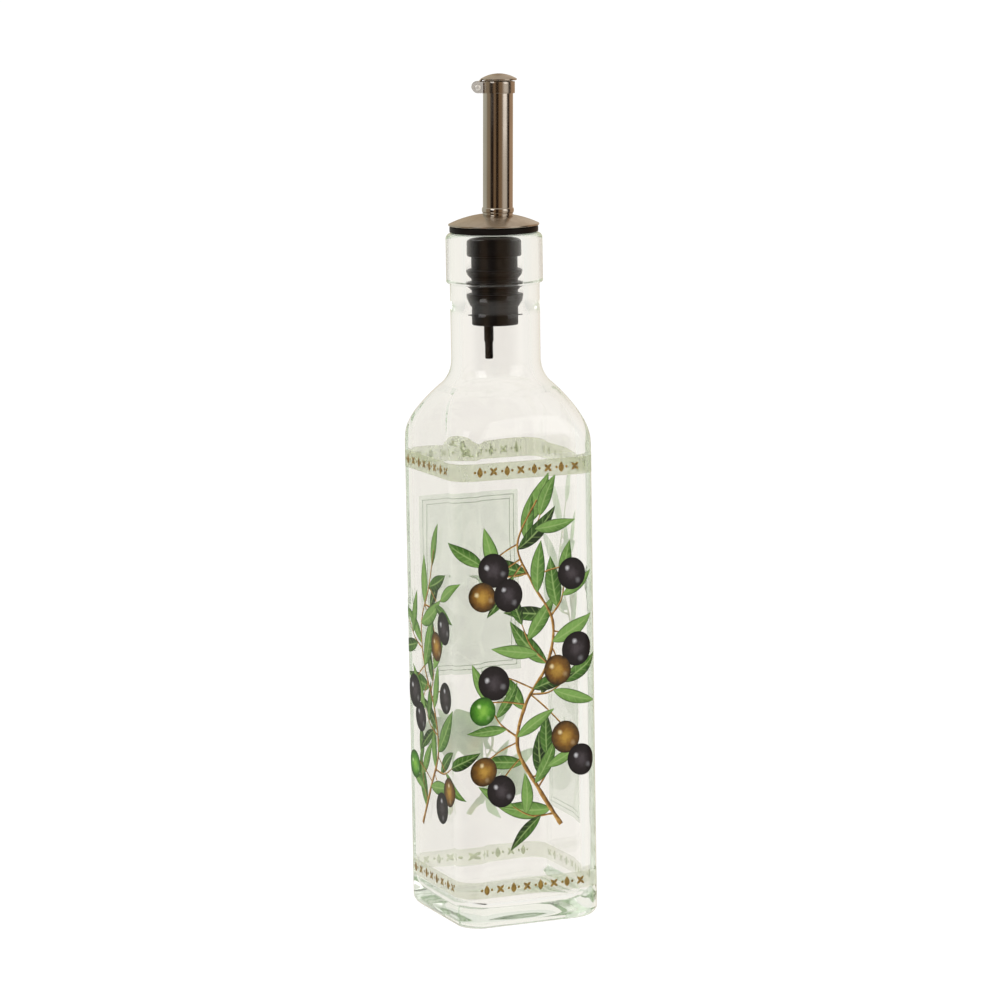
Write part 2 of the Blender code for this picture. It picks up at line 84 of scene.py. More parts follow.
class NodeBook:
    """A node tree, with short ways to add nodes and join them."""

    def __init__(self, tree: bpy.types.NodeTree) -> None:
        """Takes a tree and empties it.

        Args:
            tree: The tree that the nodes go into.
        """
        self.tree = tree
        tree.nodes.clear()

    def put(self, target: bpy.types.NodeSocket, value: object) -> None:
        """Links a socket to an input, or sets the input's own value.

        Args:
            target: The input.
            value: An output socket, a number or a tuple. A colour gets its alpha.
        """
        if isinstance(value, bpy.types.NodeSocket):
            self.tree.links.new(value, target)
        elif target.type == "RGBA" and len(value) == 3:
            target.default_value = (*value, 1.0)
        else:
            target.default_value = value

    def add(self, kind: str, inputs: dict | None = None, **settings: object) -> bpy.types.Node:
        """Adds a node.

        Args:
            kind: The node's type, without its ShaderNode prefix.
            inputs: What goes into each input, by its name or number.
            **settings: The node's own settings.

        Returns:
            The node.
        """
        node = self.tree.nodes.new("ShaderNode" + kind)
        for name, value in settings.items():
            setattr(node, name, value)
        for key, value in (inputs or {}).items():
            self.put(node.inputs[key], value)
        return node

    def maths(self, operation: str, *values: object, clamp: bool = False) -> bpy.types.NodeSocket:
        """Adds a sum.

        Args:
            operation: The Math node's operation.
            *values: Its numbers or sockets, in order.
            clamp: Whether the result is held between 0 and 1.

        Returns:
            The result.
        """
        inputs = dict(enumerate(values))
        return self.add("Math", inputs, operation=operation, use_clamp=clamp).outputs[0]

    def spread(
        self, value: object, low: float, high: float, start: float = 0.0, end: float = 1.0
    ) -> bpy.types.NodeSocket:
        """Maps a range of values onto another, smoothly.

        Args:
            value: The socket to map.
            low: The value that gives start.
            high: The value that gives end.
            start: The first result.
            end: The last result.

        Returns:
            The mapped value.
        """
        inputs = {0: value, 1: low, 2: high, 3: start, 4: end}
        return self.add("MapRange", inputs, interpolation_type="SMOOTHSTEP").outputs[0]

    def blend(self, share: object, first: object, second: object) -> bpy.types.NodeSocket:
        """Mixes two colours.

        Args:
            share: How much of the second there is.
            first: The first colour.
            second: The second colour.

        Returns:
            The mixed colour.
        """
        return self.add("Mix", {0: share, 6: first, 7: second}, data_type="RGBA").outputs[2]

    def ramp(self, value: bpy.types.NodeSocket, stops: Sequence[Stop]) -> bpy.types.NodeSocket:
        """Gives a colour for each value between 0 and 1.

        Args:
            value: The value.
            stops: Places on the ramp with their colours.

        Returns:
            The colour.
        """
        node = self.add("ValToRGB", {0: value})
        elements = node.color_ramp.elements
        while len(elements) < len(stops):
            elements.new(0.5)
        for element, (place, colour) in zip(elements, stops):
            element.position = place
            element.color = (*colour, 1.0)
        return node.outputs[0]

    def clouds(
        self, vector: object, scale: float, detail: float = 3.0, roughness: float = 0.55
    ) -> bpy.types.NodeSocket:
        """Adds soft noise.

        Args:
            vector: Where it is read.
            scale: Its scale, larger for finer noise.
            detail: How many finer layers it has.
            roughness: How strong those are.

        Returns:
            The noise, about 0 to 1.
        """
        inputs = {"Vector": vector, "Scale": scale, "Detail": detail, "Roughness": roughness}
        return self.add("TexNoise", inputs).outputs[0]

    def stretched(self, scale: Corner) -> bpy.types.NodeSocket:
        """Gives the piece's own coordinates, scaled along each axis.

        Args:
            scale: The three scales.

        Returns:
            The coordinates.
        """
        place = self.add("TexCoord").outputs["Object"]
        return self.add("Mapping", {"Vector": place, "Scale": scale}).outputs[0]

    def bump(self, height: object, distance: float, strength: float = 1.0) -> bpy.types.NodeSocket:
        """Adds a bump.

        Args:
            height: The height from 0 to 1.
            distance: What 1 is, in millimetres.
            strength: How much of it is used.

        Returns:
            The bumped normal.
        """
        inputs = {"Height": height, "Distance": distance * MM, "Strength": strength}
        return self.add("Bump", inputs).outputs[0]

    def output(self, surface: bpy.types.NodeSocket, volume: bpy.types.NodeSocket | None = None) -> None:
        """Ends a material.

        Args:
            surface: The surface's shader.
            volume: The volume's shader, if it has one.
        """
        made = self.add("OutputMaterial", {"Surface": surface})
        if volume is not None:
            self.put(made.inputs["Volume"], volume)


def new_material(name: str) -> tuple[bpy.types.Material, NodeBook]:
    """Makes an empty material.

    Args:
        name: Its name.

    Returns:
        The material and its nodes.
    """
    made = bpy.data.materials.new(name)
    made.use_nodes = True
    return made, NodeBook(made.node_tree)


@dataclass(frozen=True)
class ClearGlass:
    """Clear soda glass, with a faint green in its depth and a slow waviness."""

    refraction: float = 1.52
    wave_scale: float = 38.0
    wave_height: float = 0.03
    depth_colour: Colour = (0.77, 0.86, 0.73)
    depth_density: float = 5.0

    def make(self) -> bpy.types.Material:
        """Makes the material.

        Returns:
            The material.
        """
        material, book = new_material("clear_glass_finish")
        place = book.stretched((1.0, 1.0, 0.55))
        waves = book.clouds(place, self.wave_scale, 1.5, 0.4)
        film = book.spread(book.clouds(place, 160.0, 4.0), 0.45, 0.75, 0.0, 0.03)
        glass = book.add(
            "BsdfPrincipled",
            {
                "Base Color": (1.0, 1.0, 1.0),
                "Roughness": film,
                "IOR": self.refraction,
                "Transmission Weight": 1.0,
                "Normal": book.bump(waves, self.wave_height),
            },
        )
        clear = book.add("BsdfTransparent", {"Color": (0.93, 0.95, 0.93)})
        shadow = book.add("LightPath").outputs["Is Shadow Ray"]
        surface = book.add("MixShader", {0: shadow, 1: glass.outputs[0], 2: clear.outputs[0]})
        depth = book.add("VolumeAbsorption", {"Color": self.depth_colour, "Density": self.depth_density})
        book.output(surface.outputs[0], depth.outputs[0])
        return material


class Grain(Enum):
    """Which way steel is brushed, as scales of its noise along X, Y and Z."""

    LENGTHWISE = (2600.0, 2600.0, 25.0)
    ROUND = (60.0, 60.0, 4200.0)
    PLAIN = (500.0, 500.0, 500.0)


@dataclass(frozen=True)
class BrightSteel:
    """Warm bright steel with fine brush lines, a few handling marks and a faint haze."""

    name: str
    grain: Grain
    roughness: float = 0.16
    colour: Colour = (0.62, 0.575, 0.52)
    dull: Colour = (0.50, 0.455, 0.40)
    metallic: float = 1.0

    def make(self) -> bpy.types.Material:
        """Makes the material.

        Returns:
            The material.
        """
        material, book = new_material(self.name)
        lines = book.clouds(book.stretched(self.grain.value), 1.0, 2.0, 0.4)
        haze = book.clouds(book.stretched((1.0, 1.0, 1.0)), 90.0, 1.0)
        worn = book.maths("ADD", book.maths("MULTIPLY", lines, 0.5), book.maths("MULTIPLY", haze, 0.5))
        colour = book.blend(book.spread(worn, 0.38, 0.66, 0.0, 0.5), self.colour, self.dull)
        rough = book.spread(worn, 0.35, 0.7, self.roughness - 0.03, self.roughness + 0.05)
        steel = book.add(
            "BsdfPrincipled",
            {
                "Base Color": colour,
                "Metallic": self.metallic,
                "Roughness": rough,
                "Normal": book.bump(lines, 0.003, 0.4),
            },
        )
        book.output(steel.outputs[0])
        return material


@dataclass(frozen=True)
class SatinBlack:
    """The stopper's soft plastic: brown-black and satin, with a fine moulded texture."""

    colour: Colour = (0.004, 0.0025, 0.002)
    bloom: Colour = (0.009, 0.006, 0.0045)
    gloss: float = 0.14

    def make(self) -> bpy.types.Material:
        """Makes the material.

        Returns:
            The material.
        """
        material, book = new_material("satin_black_finish")
        fine = book.clouds(book.stretched((1.0, 1.0, 1.0)), 2600.0, 4.0)
        broad = book.clouds(book.stretched((1.0, 1.0, 1.0)), 120.0, 3.0)
        colour = book.blend(book.spread(broad, 0.4, 0.75), self.colour, self.bloom)
        rough = book.spread(fine, 0.3, 0.7, 0.36, 0.5)
        plastic = book.add(
            "BsdfPrincipled",
            {
                "Base Color": colour,
                "Roughness": rough,
                "Specular IOR Level": self.gloss,
                "Normal": book.bump(fine, 0.02, 0.5),
            },
        )
        book.output(plastic.outputs[0])
        return material


class InkFinish:
    """What the fired inks share: a thin, slightly glossy layer that follows its own marks."""

    def __init__(self, name: str) -> None:
        """Starts the material.

        Args:
            name: The material's name.
        """
        self.material, self.book = new_material(name)
        mark = self.book.add("Attribute", attribute_name=MARK).outputs["Vector"]
        parts = self.book.add("SeparateXYZ", {0: mark})
        self.along, self.across, self.chance = parts.outputs
        self.place = self.book.add("TexCoord").outputs["Object"]

    def finish(self, colour: object, cover: float = 1.0, thin: float = 0.25) -> bpy.types.Material:
        """Ends the material.

        Args:
            colour: The ink's colour.
            cover: How much of what is behind it hides.
            thin: How much of its colour is light that comes through it from behind.

        Returns:
            The material.
        """
        book = self.book
        grain = book.clouds(self.place, 1500.0, 3.0)
        ink = book.add(
            "BsdfPrincipled",
            {
                "Base Color": colour,
                "Roughness": book.spread(grain, 0.3, 0.7, 0.28, 0.42),
                "Normal": book.bump(grain, 0.01, 0.6),
            },
        )
        glow = book.add("BsdfTranslucent", {"Color": colour})
        surface = book.add("MixShader", {0: thin, 1: ink.outputs[0], 2: glow.outputs[0]}).outputs[0]
        if cover < 1.0:
            clear = book.add("BsdfTransparent", {"Color": (1.0, 1.0, 1.0)})
            surface = book.add("MixShader", {0: cover, 1: clear.outputs[0], 2: surface}).outputs[0]
        book.output(surface)
        return self.material


@dataclass(frozen=True)
class LeafInk:
    """Leaf greens, with a pale midrib, side veins and a darker edge."""

    dark: Colour = srgb(34, 54, 22)
    middle: Colour = srgb(72, 116, 38)
    light: Colour = srgb(128, 168, 84)
    rib: Colour = srgb(158, 186, 112)
    veins: float = 7.0

    def make(self) -> bpy.types.Material:
        """Makes the material.

        Returns:
            The material.
        """
        ink = InkFinish("leaf_ink")
        book = ink.book
        side = book.maths("ABSOLUTE", ink.across)
        mottle = book.clouds(ink.place, 420.0, 4.0, 0.65)
        tone = book.maths("MULTIPLY", ink.across, 0.2)
        tone = book.maths("ADD", tone, book.maths("MULTIPLY", ink.chance, 0.8))
        tone = book.maths("ADD", tone, book.maths("MULTIPLY", mottle, 0.62))
        tone = book.maths("SUBTRACT", tone, book.maths("MULTIPLY", ink.along, 0.16))
        colour = book.ramp(tone, [(0.2, self.dark), (0.58, self.middle), (0.98, self.light)])
        wave = book.maths("MULTIPLY", ink.along, self.veins)
        wave = book.maths("SUBTRACT", wave, book.maths("MULTIPLY", side, 0.9))
        wave = book.maths("SINE", book.maths("MULTIPLY", wave, math.tau))
        colour = book.blend(book.spread(wave, 0.75, 1.0, 0.0, 0.35), colour, self.rib)
        colour = book.blend(book.spread(side, 0.72, 1.0, 0.0, 0.7), colour, self.dark)
        colour = book.blend(book.spread(side, 0.16, 0.05, 0.0, 0.75), colour, self.rib)
        return ink.finish(colour)


class Ripeness(Enum):
    """How ripe a berry is: its name, and its colours from the rim to the middle and the light spot."""

    DARK = ("dark", srgb(20, 15, 17), srgb(38, 31, 34), srgb(74, 66, 70), srgb(214, 212, 216))
    AMBER = ("amber", srgb(58, 40, 14), srgb(134, 92, 26), srgb(188, 146, 56), srgb(238, 222, 176))
    GREEN = ("green", srgb(44, 92, 18), srgb(84, 150, 34), srgb(138, 190, 70), srgb(214, 236, 168))


@dataclass(frozen=True)
class BerryInk:
    """A round berry, painted with a dark rim, a lighter middle and a light spot."""

    ripeness: Ripeness

    def make(self) -> bpy.types.Material:
        """Makes the material.

        Returns:
            The material.
        """
        name, rim, body, middle, spot = self.ripeness.value
        ink = InkFinish(name + "_berry_ink")
        book = ink.book
        square = book.maths("MULTIPLY", ink.along, ink.along)
        radius = book.maths("SQRT", book.maths("ADD", square, book.maths("MULTIPLY", ink.across, ink.across)))
        mottle = book.clouds(ink.place, 620.0, 4.0, 0.7)
        tone = book.maths("ADD", radius, book.maths("MULTIPLY", book.maths("SUBTRACT", mottle, 0.5), 0.7))
        colour = book.ramp(tone, [(0.12, middle), (0.55, body), (0.98, rim)])
        for place_x, place_y, size, strength in ((-0.30, 0.36, 0.30, 0.85), (0.42, -0.46, 0.34, 0.22)):
            off_x = book.maths("SUBTRACT", ink.along, place_x)
            off_y = book.maths("SUBTRACT", ink.across, place_y)
            square_x, square_y = (book.maths("MULTIPLY", off, off) for off in (off_x, off_y))
            away = book.maths("SQRT", book.maths("ADD", square_x, square_y))
            away = book.maths("ADD", away, book.maths("MULTIPLY", mottle, 0.16))
            colour = book.blend(book.spread(away, size, 0.1, 0.0, strength), colour, spot)
        return ink.finish(colour)


@dataclass(frozen=True)
class TwigInk:
    """Golden-brown bark, lit along one side."""

    dark: Colour = srgb(84, 56, 22)
    middle: Colour = srgb(158, 112, 48)
    light: Colour = srgb(208, 168, 96)

    def make(self) -> bpy.types.Material:
        """Makes the material.

        Returns:
            The material.
        """
        ink = InkFinish("twig_ink")
        book = ink.book
        mottle = book.clouds(ink.place, 900.0, 3.0)
        tone = book.maths("ADD", book.maths("MULTIPLY", ink.across, 0.36), mottle)
        colour = book.ramp(tone, [(0.15, self.dark), (0.5, self.middle), (0.85, self.light)])
        return ink.finish(colour)


@dataclass(frozen=True)
class PlainInk:
    """A plain field of ink with slight cloudiness, which may let some light through."""

    name: str
    colour: Colour
    shade: Colour
    cover: float = 1.0
    scale: float = 260.0
    thin: float = 0.25

    def make(self) -> bpy.types.Material:
        """Makes the material.

        Returns:
            The material.
        """
        ink = InkFinish(self.name)
        book = ink.book
        mottle = book.clouds(ink.place, self.scale, 4.0, 0.6)
        colour = book.blend(book.spread(mottle, 0.35, 0.7), self.colour, self.shade)
        return ink.finish(colour, self.cover, self.thin)


def outward(mesh: bpy.types.Mesh) -> None:
    """Turns every face of a closed mesh outward.

    Args:
        mesh: The mesh.
    """
    shape = bmesh.new()
    shape.from_mesh(mesh)
    bmesh.ops.recalc_face_normals(shape, faces=shape.faces)
    shape.to_mesh(mesh)
    shape.free()


def smoothed(mesh: bpy.types.Mesh, angle: float = 35.0) -> None:
    """Shades a mesh smoothly, apart from its true edges.

    Args:
        mesh: The mesh.
        angle: From which angle on an edge stays sharp, in degrees.
    """
    mesh.shade_smooth()
    mesh.set_sharp_from_angle(angle=math.radians(angle))


def solid(name: str, points: Iterable[Sequence[float]], faces: Sequence[Sequence[int]]) -> bpy.types.Object:
    """Makes an object of a closed mesh and puts it in the scene.

    Args:
        name: Its name.
        points: Its points, in millimetres.
        faces: The points of each face.

    Returns:
        The object.
    """
    mesh = bpy.data.meshes.new(name)
    mesh.from_pydata([[x * MM for x in point] for point in points], [], faces)
    outward(mesh)
    smoothed(mesh)
    made = bpy.data.objects.new(name, mesh)
    bpy.context.scene.collection.objects.link(made)
    return made


def with_modifiers(piece: bpy.types.Object) -> None:
    """Puts the shape that a piece's modifiers give into its mesh.

    Args:
        piece: The piece.
    """
    bpy.context.view_layer.update()
    graph = bpy.context.evaluated_depsgraph_get()
    mesh = bpy.data.meshes.new_from_object(piece.evaluated_get(graph))
    old = piece.data
    piece.modifiers.clear()
    piece.data = mesh
    bpy.data.meshes.remove(old)
    mesh.name = piece.name
    smoothed(mesh)


def combine(piece: bpy.types.Object, other: bpy.types.Object, operation: str) -> None:
    """Cuts another shape out of a piece, or joins it on. The other is then removed.

    Args:
        piece: The piece.
        other: The other shape.
        operation: DIFFERENCE or UNION.
    """
    modifier = piece.modifiers.new(other.name, "BOOLEAN")
    modifier.operation = operation
    modifier.object = other
    with_modifiers(piece)
    bpy.data.objects.remove(other)


def rounded(corners: Sequence[Corner], closed: bool = False, steps: int = 4) -> list[Point]:
    """Rounds the corners of a line.

    Args:
        corners: Each corner's place, and the radius of its rounding.
        closed: Whether the line returns to its start.
        steps: How many edges a rounding has.

    Returns:
        The rounded line's points.
    """
    made: list[Point] = []
    count = len(corners)
    for i, (x, z, radius) in enumerate(corners):
        if radius <= 0 or (not closed and i in (0, count - 1)):
            made.append((x, z))
            continue
        corner = Vector((x, z))
        before = Vector(corners[i - 1][:2]) - corner
        after = Vector(corners[(i + 1) % count][:2]) - corner
        half_turn = before.angle(after) / 2
        reach = min(radius / math.tan(half_turn), before.length * 0.48, after.length * 0.48)
        radius = reach * math.tan(half_turn)
        towards = (before.normalized() + after.normalized()).normalized()
        centre = corner + towards * math.hypot(reach, radius)
        start = corner + before.normalized() * reach - centre
        end = corner + after.normalized() * reach - centre
        for step in range(steps + 1):
            spoke = start.lerp(end, step / steps).normalized() * radius
            made.append(tuple(centre + spoke))
    return made


def arc(centre: Point, radius: float, start: float, end: float, steps: int) -> Iterator[Point]:
    """Goes round an arc.

    Args:
        centre: Its centre.
        radius: Its radius.
        start: Its first angle, in degrees.
        end: Its last angle, in degrees.
        steps: How many edges it has.

    Yields:
        Its points.
    """
    for step in range(steps + 1):
        angle = math.radians(start + (end - start) * step / steps)
        yield centre[0] + radius * math.cos(angle), centre[1] + radius * math.sin(angle)


def dome(radius: float, low: float, rise: float, steps: int) -> Iterator[Corner]:
    """Goes over a shallow dome, from its top to its rim.

    Args:
        radius: The rim's radius.
        low: The rim's height.
        rise: How much higher the top is.
        steps: How many edges it has.

    Yields:
        Its points, with no rounding.
    """
    sphere = (radius * radius + rise * rise) / (2 * rise)
    reach = math.asin(radius / sphere)
    for step in range(steps + 1):
        angle = reach * step / steps
        yield sphere * math.sin(angle), low + rise - sphere * (1 - math.cos(angle)), 0.0


def lathe(name: str, profile: Sequence[Point], closed: bool = False, steps: int = 96) -> bpy.types.Object:
    """Turns a profile round Z.

    Args:
        name: The piece's name.
        profile: Its radii and heights. A radius of 0 gives one point on the axis.
        closed: Whether the profile returns to its start.
        steps: How many edges a ring has.

    Returns:
        The piece.
    """
    points: list[Corner] = []
    rings: list[list[int]] = []
    for radius, z in profile:
        count = 1 if radius < TINY_RADIUS else steps
        rings.append(list(range(len(points), len(points) + count)))
        for i in range(count):
            angle = math.tau * i / steps
            points.append((radius * math.cos(angle), radius * math.sin(angle), z))
    faces: list[list[int]] = []
    pairs = list(zip(rings, rings[1:]))
    if closed:
        pairs.append((rings[-1], rings[0]))
    for low, high in pairs:
        for i in range(steps):
            j = (i + 1) % steps
            face = [low[i % len(low)], low[j % len(low)], high[j % len(high)], high[i % len(high)]]
            faces.append(list(dict.fromkeys(face)))
    return solid(name, points, [face for face in faces if len(face) > 2])


def ease_edges(piece: bpy.types.Object, width: float, segments: int, sharpest: float = 50.0) -> None:
    """Rounds the sharp edges of a piece a little, by a modifier.

    Args:
        piece: The piece.
        width: How wide the rounding is.
        segments: How many edges it has.
        sharpest: From which angle on an edge is rounded, in degrees.
    """
    ease = piece.modifiers.new("ease", "BEVEL")
    ease.width = width * MM
    ease.segments = segments
    ease.limit_method = "ANGLE"
    ease.angle_limit = math.radians(sharpest)


def drawn_plate(name: str, outline: Sequence[Point], width: float, edge: float) -> bpy.types.Object:
    """Makes a plate from an outline in X and Z, centred on Y, with its edges eased.

    Args:
        name: The plate's name.
        outline: Its outline.
        width: Its size along Y.
        edge: How wide the easing is.

    Returns:
        The plate.
    """
    count = len(outline)
    points = [(x, y, z) for y in (-width / 2, width / 2) for x, z in outline]
    faces = [list(range(count)), list(range(2 * count - 1, count - 1, -1))]
    faces += [[i, (i + 1) % count, count + (i + 1) % count, count + i] for i in range(count)]
    made = solid(name, points, faces)
    ease_edges(made, edge, 3)
    with_modifiers(made)
    return made


def settle(
    piece: bpy.types.Object, finishes: Sequence[bpy.types.Material], body: str, slot: str, *nodes: str
) -> None:
    """Dresses a piece, lets it ride on its body, hides the CAD nodes that it replaces and logs it.

    Args:
        piece: The piece, in its place.
        finishes: Its materials.
        body: The body that carries it.
        slot: The record's material slot, or nothing for print. It is not used.
        *nodes: The CAD nodes that it replaces.
    """
    for finish in finishes:
        piece.data.materials.append(finish)
    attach(piece, body)
    if nodes:
        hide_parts(*nodes)
    log.info("%s: %d faces on %s", piece.name, len(piece.data.polygons), body)


@dataclass(frozen=True)
class PourerFrame:
    """How the pourer sits in the neck: turned a little, with its tube off the centre and leaning."""

    turn: float = -20.0
    lean: float = 1.0
    lean_z: float = 229.0
    tube_x: float = 1.35

    def upright(self) -> Matrix:
        """The frame of the stopper, the vent tube and the disc."""
        return Matrix.Rotation(math.radians(self.turn), 4, "Z")

    def spout(self) -> Matrix:
        """Gives the frame of the tube and all that it carries.

        Returns:
            The frame, with the tube's axis as its Z axis.
        """
        lean = Matrix.Rotation(math.radians(self.lean), 4, "Y")
        foot = Matrix.Translation((self.tube_x * MM, 0, self.lean_z * MM))
        return self.upright() @ foot @ lean @ Matrix.Translation((0, 0, -self.lean_z * MM))


@dataclass
class GlassBottle:
    """The bottle: square body, arched shoulders, round neck and a thick ring at the mouth."""

    half: float = 25.0
    corner: float = 7.0
    wall: float = 3.0
    inner_corner: float = 6.5
    foot_round: float = 3.5
    foot_ring: float = 3.5
    push_up: float = 1.8
    floor: float = 6.0
    floor_round: float = 4.5
    shoulder_radius: float = 23.0
    shoulder_z: float = 160.2
    neck_radius: float = 14.65
    neck_fillet: float = 12.0
    inner_neck: float = 11.3
    square_below: float = 157.0
    round_above: float = 181.5
    ring_radius: float = 15.8
    ring_bottom: float = 209.9
    mouth: float = 226.0
    bore: float = 9.5
    bore_bottom: float = 206.0
    bore_taper: float = 7.0
    mouth_round: float = 1.6
    bore_round: float = 1.1
    ring_round: float = 0.7
    corner_steps: int = 16
    ripple: float = 0.15
    flat_places: tuple[float, ...] = (0.0, 0.3, 0.6, 0.85, 0.97)

    def squareness(self, z: float) -> float:
        """Says how square the body is at a height.

        Args:
            z: The height.

        Returns:
            1 where it is square, 0 where it is round.
        """
        share = (self.round_above - z) / (self.round_above - self.square_below)
        share = min(1.0, max(0.0, share))
        return share * share * (3 - 2 * share)

    def quarter(self, half: float, corner: float, square: float) -> Iterator[Point]:
        """Goes round a quarter of a section, a square's corner blended into a circle.

        Args:
            half: The section's half width.
            corner: The corner's radius.
            square: How square the section is.

        Yields:
            Its points, without the last.
        """
        flat = half - corner
        share = 0.15
        spots = [(share * place, half, flat * place) for place in self.flat_places]
        for step in range(self.corner_steps + 1):
            bend = math.radians(90 * step / self.corner_steps)
            place = share + (1 - 2 * share) * step / self.corner_steps
            spots.append((place, flat + corner * math.cos(bend), flat + corner * math.sin(bend)))
        spots += [(1 - share * place, flat * place, half) for place in reversed(self.flat_places[1:])]
        for place, x, y in spots:
            angle = math.radians(90 * place)
            round_x, round_y = half * math.cos(angle), half * math.sin(angle)
            yield round_x + (x - round_x) * square, round_y + (y - round_y) * square

    def section(self, half: float, corner: float, z: float) -> list[Vector]:
        """Gives the outline of the bottle at one height.

        Args:
            half: Its half width.
            corner: Its corner radius where it is square.
            z: Its height.

        Returns:
            Its points.
        """
        quarter = list(self.quarter(half, min(corner, half), self.squareness(z)))
        turned = [quarter]
        for _ in range(3):
            turned.append([(-y, x) for x, y in turned[-1]])
        return [Vector((x, y, z)) for part in turned for x, y in part]

    def fillet_z(self) -> float:
        """The height at which the neck's fillet ends."""
        return self.shoulder_z + (self.shoulder_radius + self.neck_fillet) * math.sin(math.radians(45))

    def outside(self) -> Iterator[Point]:
        """Goes up the outside, from the push-up to the lip of the bore.

        Yields:
            Half widths and heights.
        """
        foot = self.half - self.foot_round
        hollow = foot - self.foot_ring
        for share in (0.12, 0.3, 0.45, 0.58, 0.7, 0.8, 0.88, 0.94, 0.98):
            yield hollow * share, self.push_up * (1 - share**3.2)
        yield hollow, 0.0
        yield hollow + 0.3, 0.0
        yield foot - 0.3, 0.0
        yield from arc((foot, self.foot_round), self.foot_round, -90, 0, 10)
        low, high = self.foot_round, self.shoulder_z
        for share in (0.004, 0.1, 0.25, 0.4, 0.55, 0.7, 0.85, 0.94, self.square_share(low, high), 0.996):
            yield self.half, low + (high - low) * share
        yield from arc((self.half - self.shoulder_radius, high), self.shoulder_radius, 0, 45, 16)
        centre = (self.neck_radius + self.neck_fillet, self.fillet_z())
        yield from list(arc(centre, self.neck_fillet, 225, 180, 10))[1:]
        yield self.neck_radius, self.fillet_z() + 0.4
        yield self.neck_radius, self.ring_bottom - 0.8
        yield from rounded(
            [
                (self.neck_radius, self.ring_bottom - 0.8, 0),
                (self.neck_radius, self.ring_bottom, 0.45),
                (self.ring_radius, self.ring_bottom, self.ring_round),
                (self.ring_radius, self.mouth, self.mouth_round),
                (self.bore, self.mouth, self.bore_round),
                (self.bore, self.bore_bottom, 0),
            ],
            steps=6,
        )[1:-1]

    def square_share(self, low: float, high: float) -> float:
        """How far up the straight side the body starts to turn round."""
        return (self.square_below - low) / (high - low)

    def inside(self) -> Iterator[Point]:
        """Goes down the inside, from the bottom of the bore to the floor.

        Yields:
            Half widths and heights.
        """
        inner = self.half - self.wall
        shoulder = self.shoulder_radius - self.wall
        fillet = self.neck_fillet + self.neck_radius - self.inner_neck
        taper_end = self.bore_bottom - self.bore_taper
        yield self.bore, self.bore_bottom + 3.0
        yield self.bore, self.bore_bottom + 0.4
        for share in (0.12, 0.3, 0.5, 0.7, 0.88):
            smooth = share * share * (3 - 2 * share)
            radius = self.bore + (self.inner_neck - self.bore) * smooth
            yield radius, self.bore_bottom - self.bore_taper * share
        yield self.inner_neck, taper_end
        yield from arc((self.inner_neck + fillet, self.fillet_z()), fillet, 180, 222, 12)
        yield from arc((inner - shoulder, self.shoulder_z), shoulder, 42, 0, 18)
        low = self.floor + self.floor_round
        for step in range(1, 30):
            yield inner, self.shoulder_z + (low - self.shoulder_z) * step / 30
        yield from arc((inner - self.floor_round, low), self.floor_round, 0, -90, 10)
        for share in (0.85, 0.65, 0.45, 0.25, 0.1):
            yield (inner - self.floor_round) * share, self.floor

    def rippled(self, point: Vector) -> Vector:
        """Moves a point of the inside by the slow unevenness of blown glass.

        Args:
            point: The point.

        Returns:
            Its new place.
        """
        fade = min(1.0, max(0.0, (self.round_above - point.z) / 14))
        where = point / 17.0
        shift = noise.noise(where) + 0.4 * noise.noise(where * 2.3)
        outward_way = Vector((point.x, point.y, 0.0))
        moved = point.copy()
        if outward_way.length > 1.0:
            moved += outward_way.normalized() * shift * self.ripple * fade
        near_floor = max(0.0, 1 - (point.z - self.floor) / 5)
        moved.z += (shift * 1.3 + 0.2) * self.ripple * near_floor
        return moved

    def build(self, finish: bpy.types.Material) -> None:
        """Builds the glass and dresses it.

        Args:
            finish: The glass.
        """
        rings = [self.section(half, self.corner, z) for half, z in self.outside()]
        for half, z in self.inside():
            rings.append([self.rippled(point) for point in self.section(half, self.inner_corner, z)])
        count = len(rings[0])
        points = [point for ring in rings for point in ring]
        faces = []
        for low in range(len(rings) - 1):
            start, end = low * count, (low + 1) * count
            for i in range(count):
                j = (i + 1) % count
                faces.append((start + i, start + j, end + j, end + i))
        top, bottom = len(points), len(points) + 1
        points += [Vector((0, 0, self.push_up)), self.rippled(Vector((0, 0, self.floor)))]
        last = (len(rings) - 1) * count
        for i in range(count):
            j = (i + 1) % count
            faces += [(j, i, top), (last + i, last + j, bottom)]
        glass = solid("glass_bottle", points, faces)
        settle(glass, [finish], "bottle", "clear_glass", CAD["bottle_glass"])


@dataclass(frozen=True)
class PrintSurface:
    """The outside of the body's straight sides, on which the print lies."""

    half: float = 25.0
    corner: float = 7.0
    first_lift: float = 0.02
    layer_step: float = 0.014
    thickness: float = 0.009

    def face_width(self) -> float:
        """How far it is round the body from one face's middle to the next."""
        return 2 * (self.half - self.corner) + self.corner * math.pi / 2

    def place(self, around: float, z: float, lift: float) -> Vector:
        """Finds a place on the surface.

        Args:
            around: How far round it is from the front's middle, to the right.
            z: Its height.
            lift: How far over the glass it is.

        Returns:
            The point.
        """
        width = self.face_width()
        side = round(around / width)
        local = around - side * width
        flat = self.half - self.corner
        past = max(0.0, abs(local) - flat)
        bend = past / self.corner
        reach = self.corner + lift
        x = math.copysign(min(abs(local), flat) + reach * math.sin(bend), local)
        y = -(flat + reach * math.cos(bend))
        return Matrix.Rotation(math.radians(90 * side), 3, "Z") @ Vector((x, y, z))

    def span(self, layer: int) -> tuple[float, float]:
        """How far over the glass a layer of ink starts and ends."""
        low = self.first_lift + self.layer_step * layer
        return low, low + self.thickness


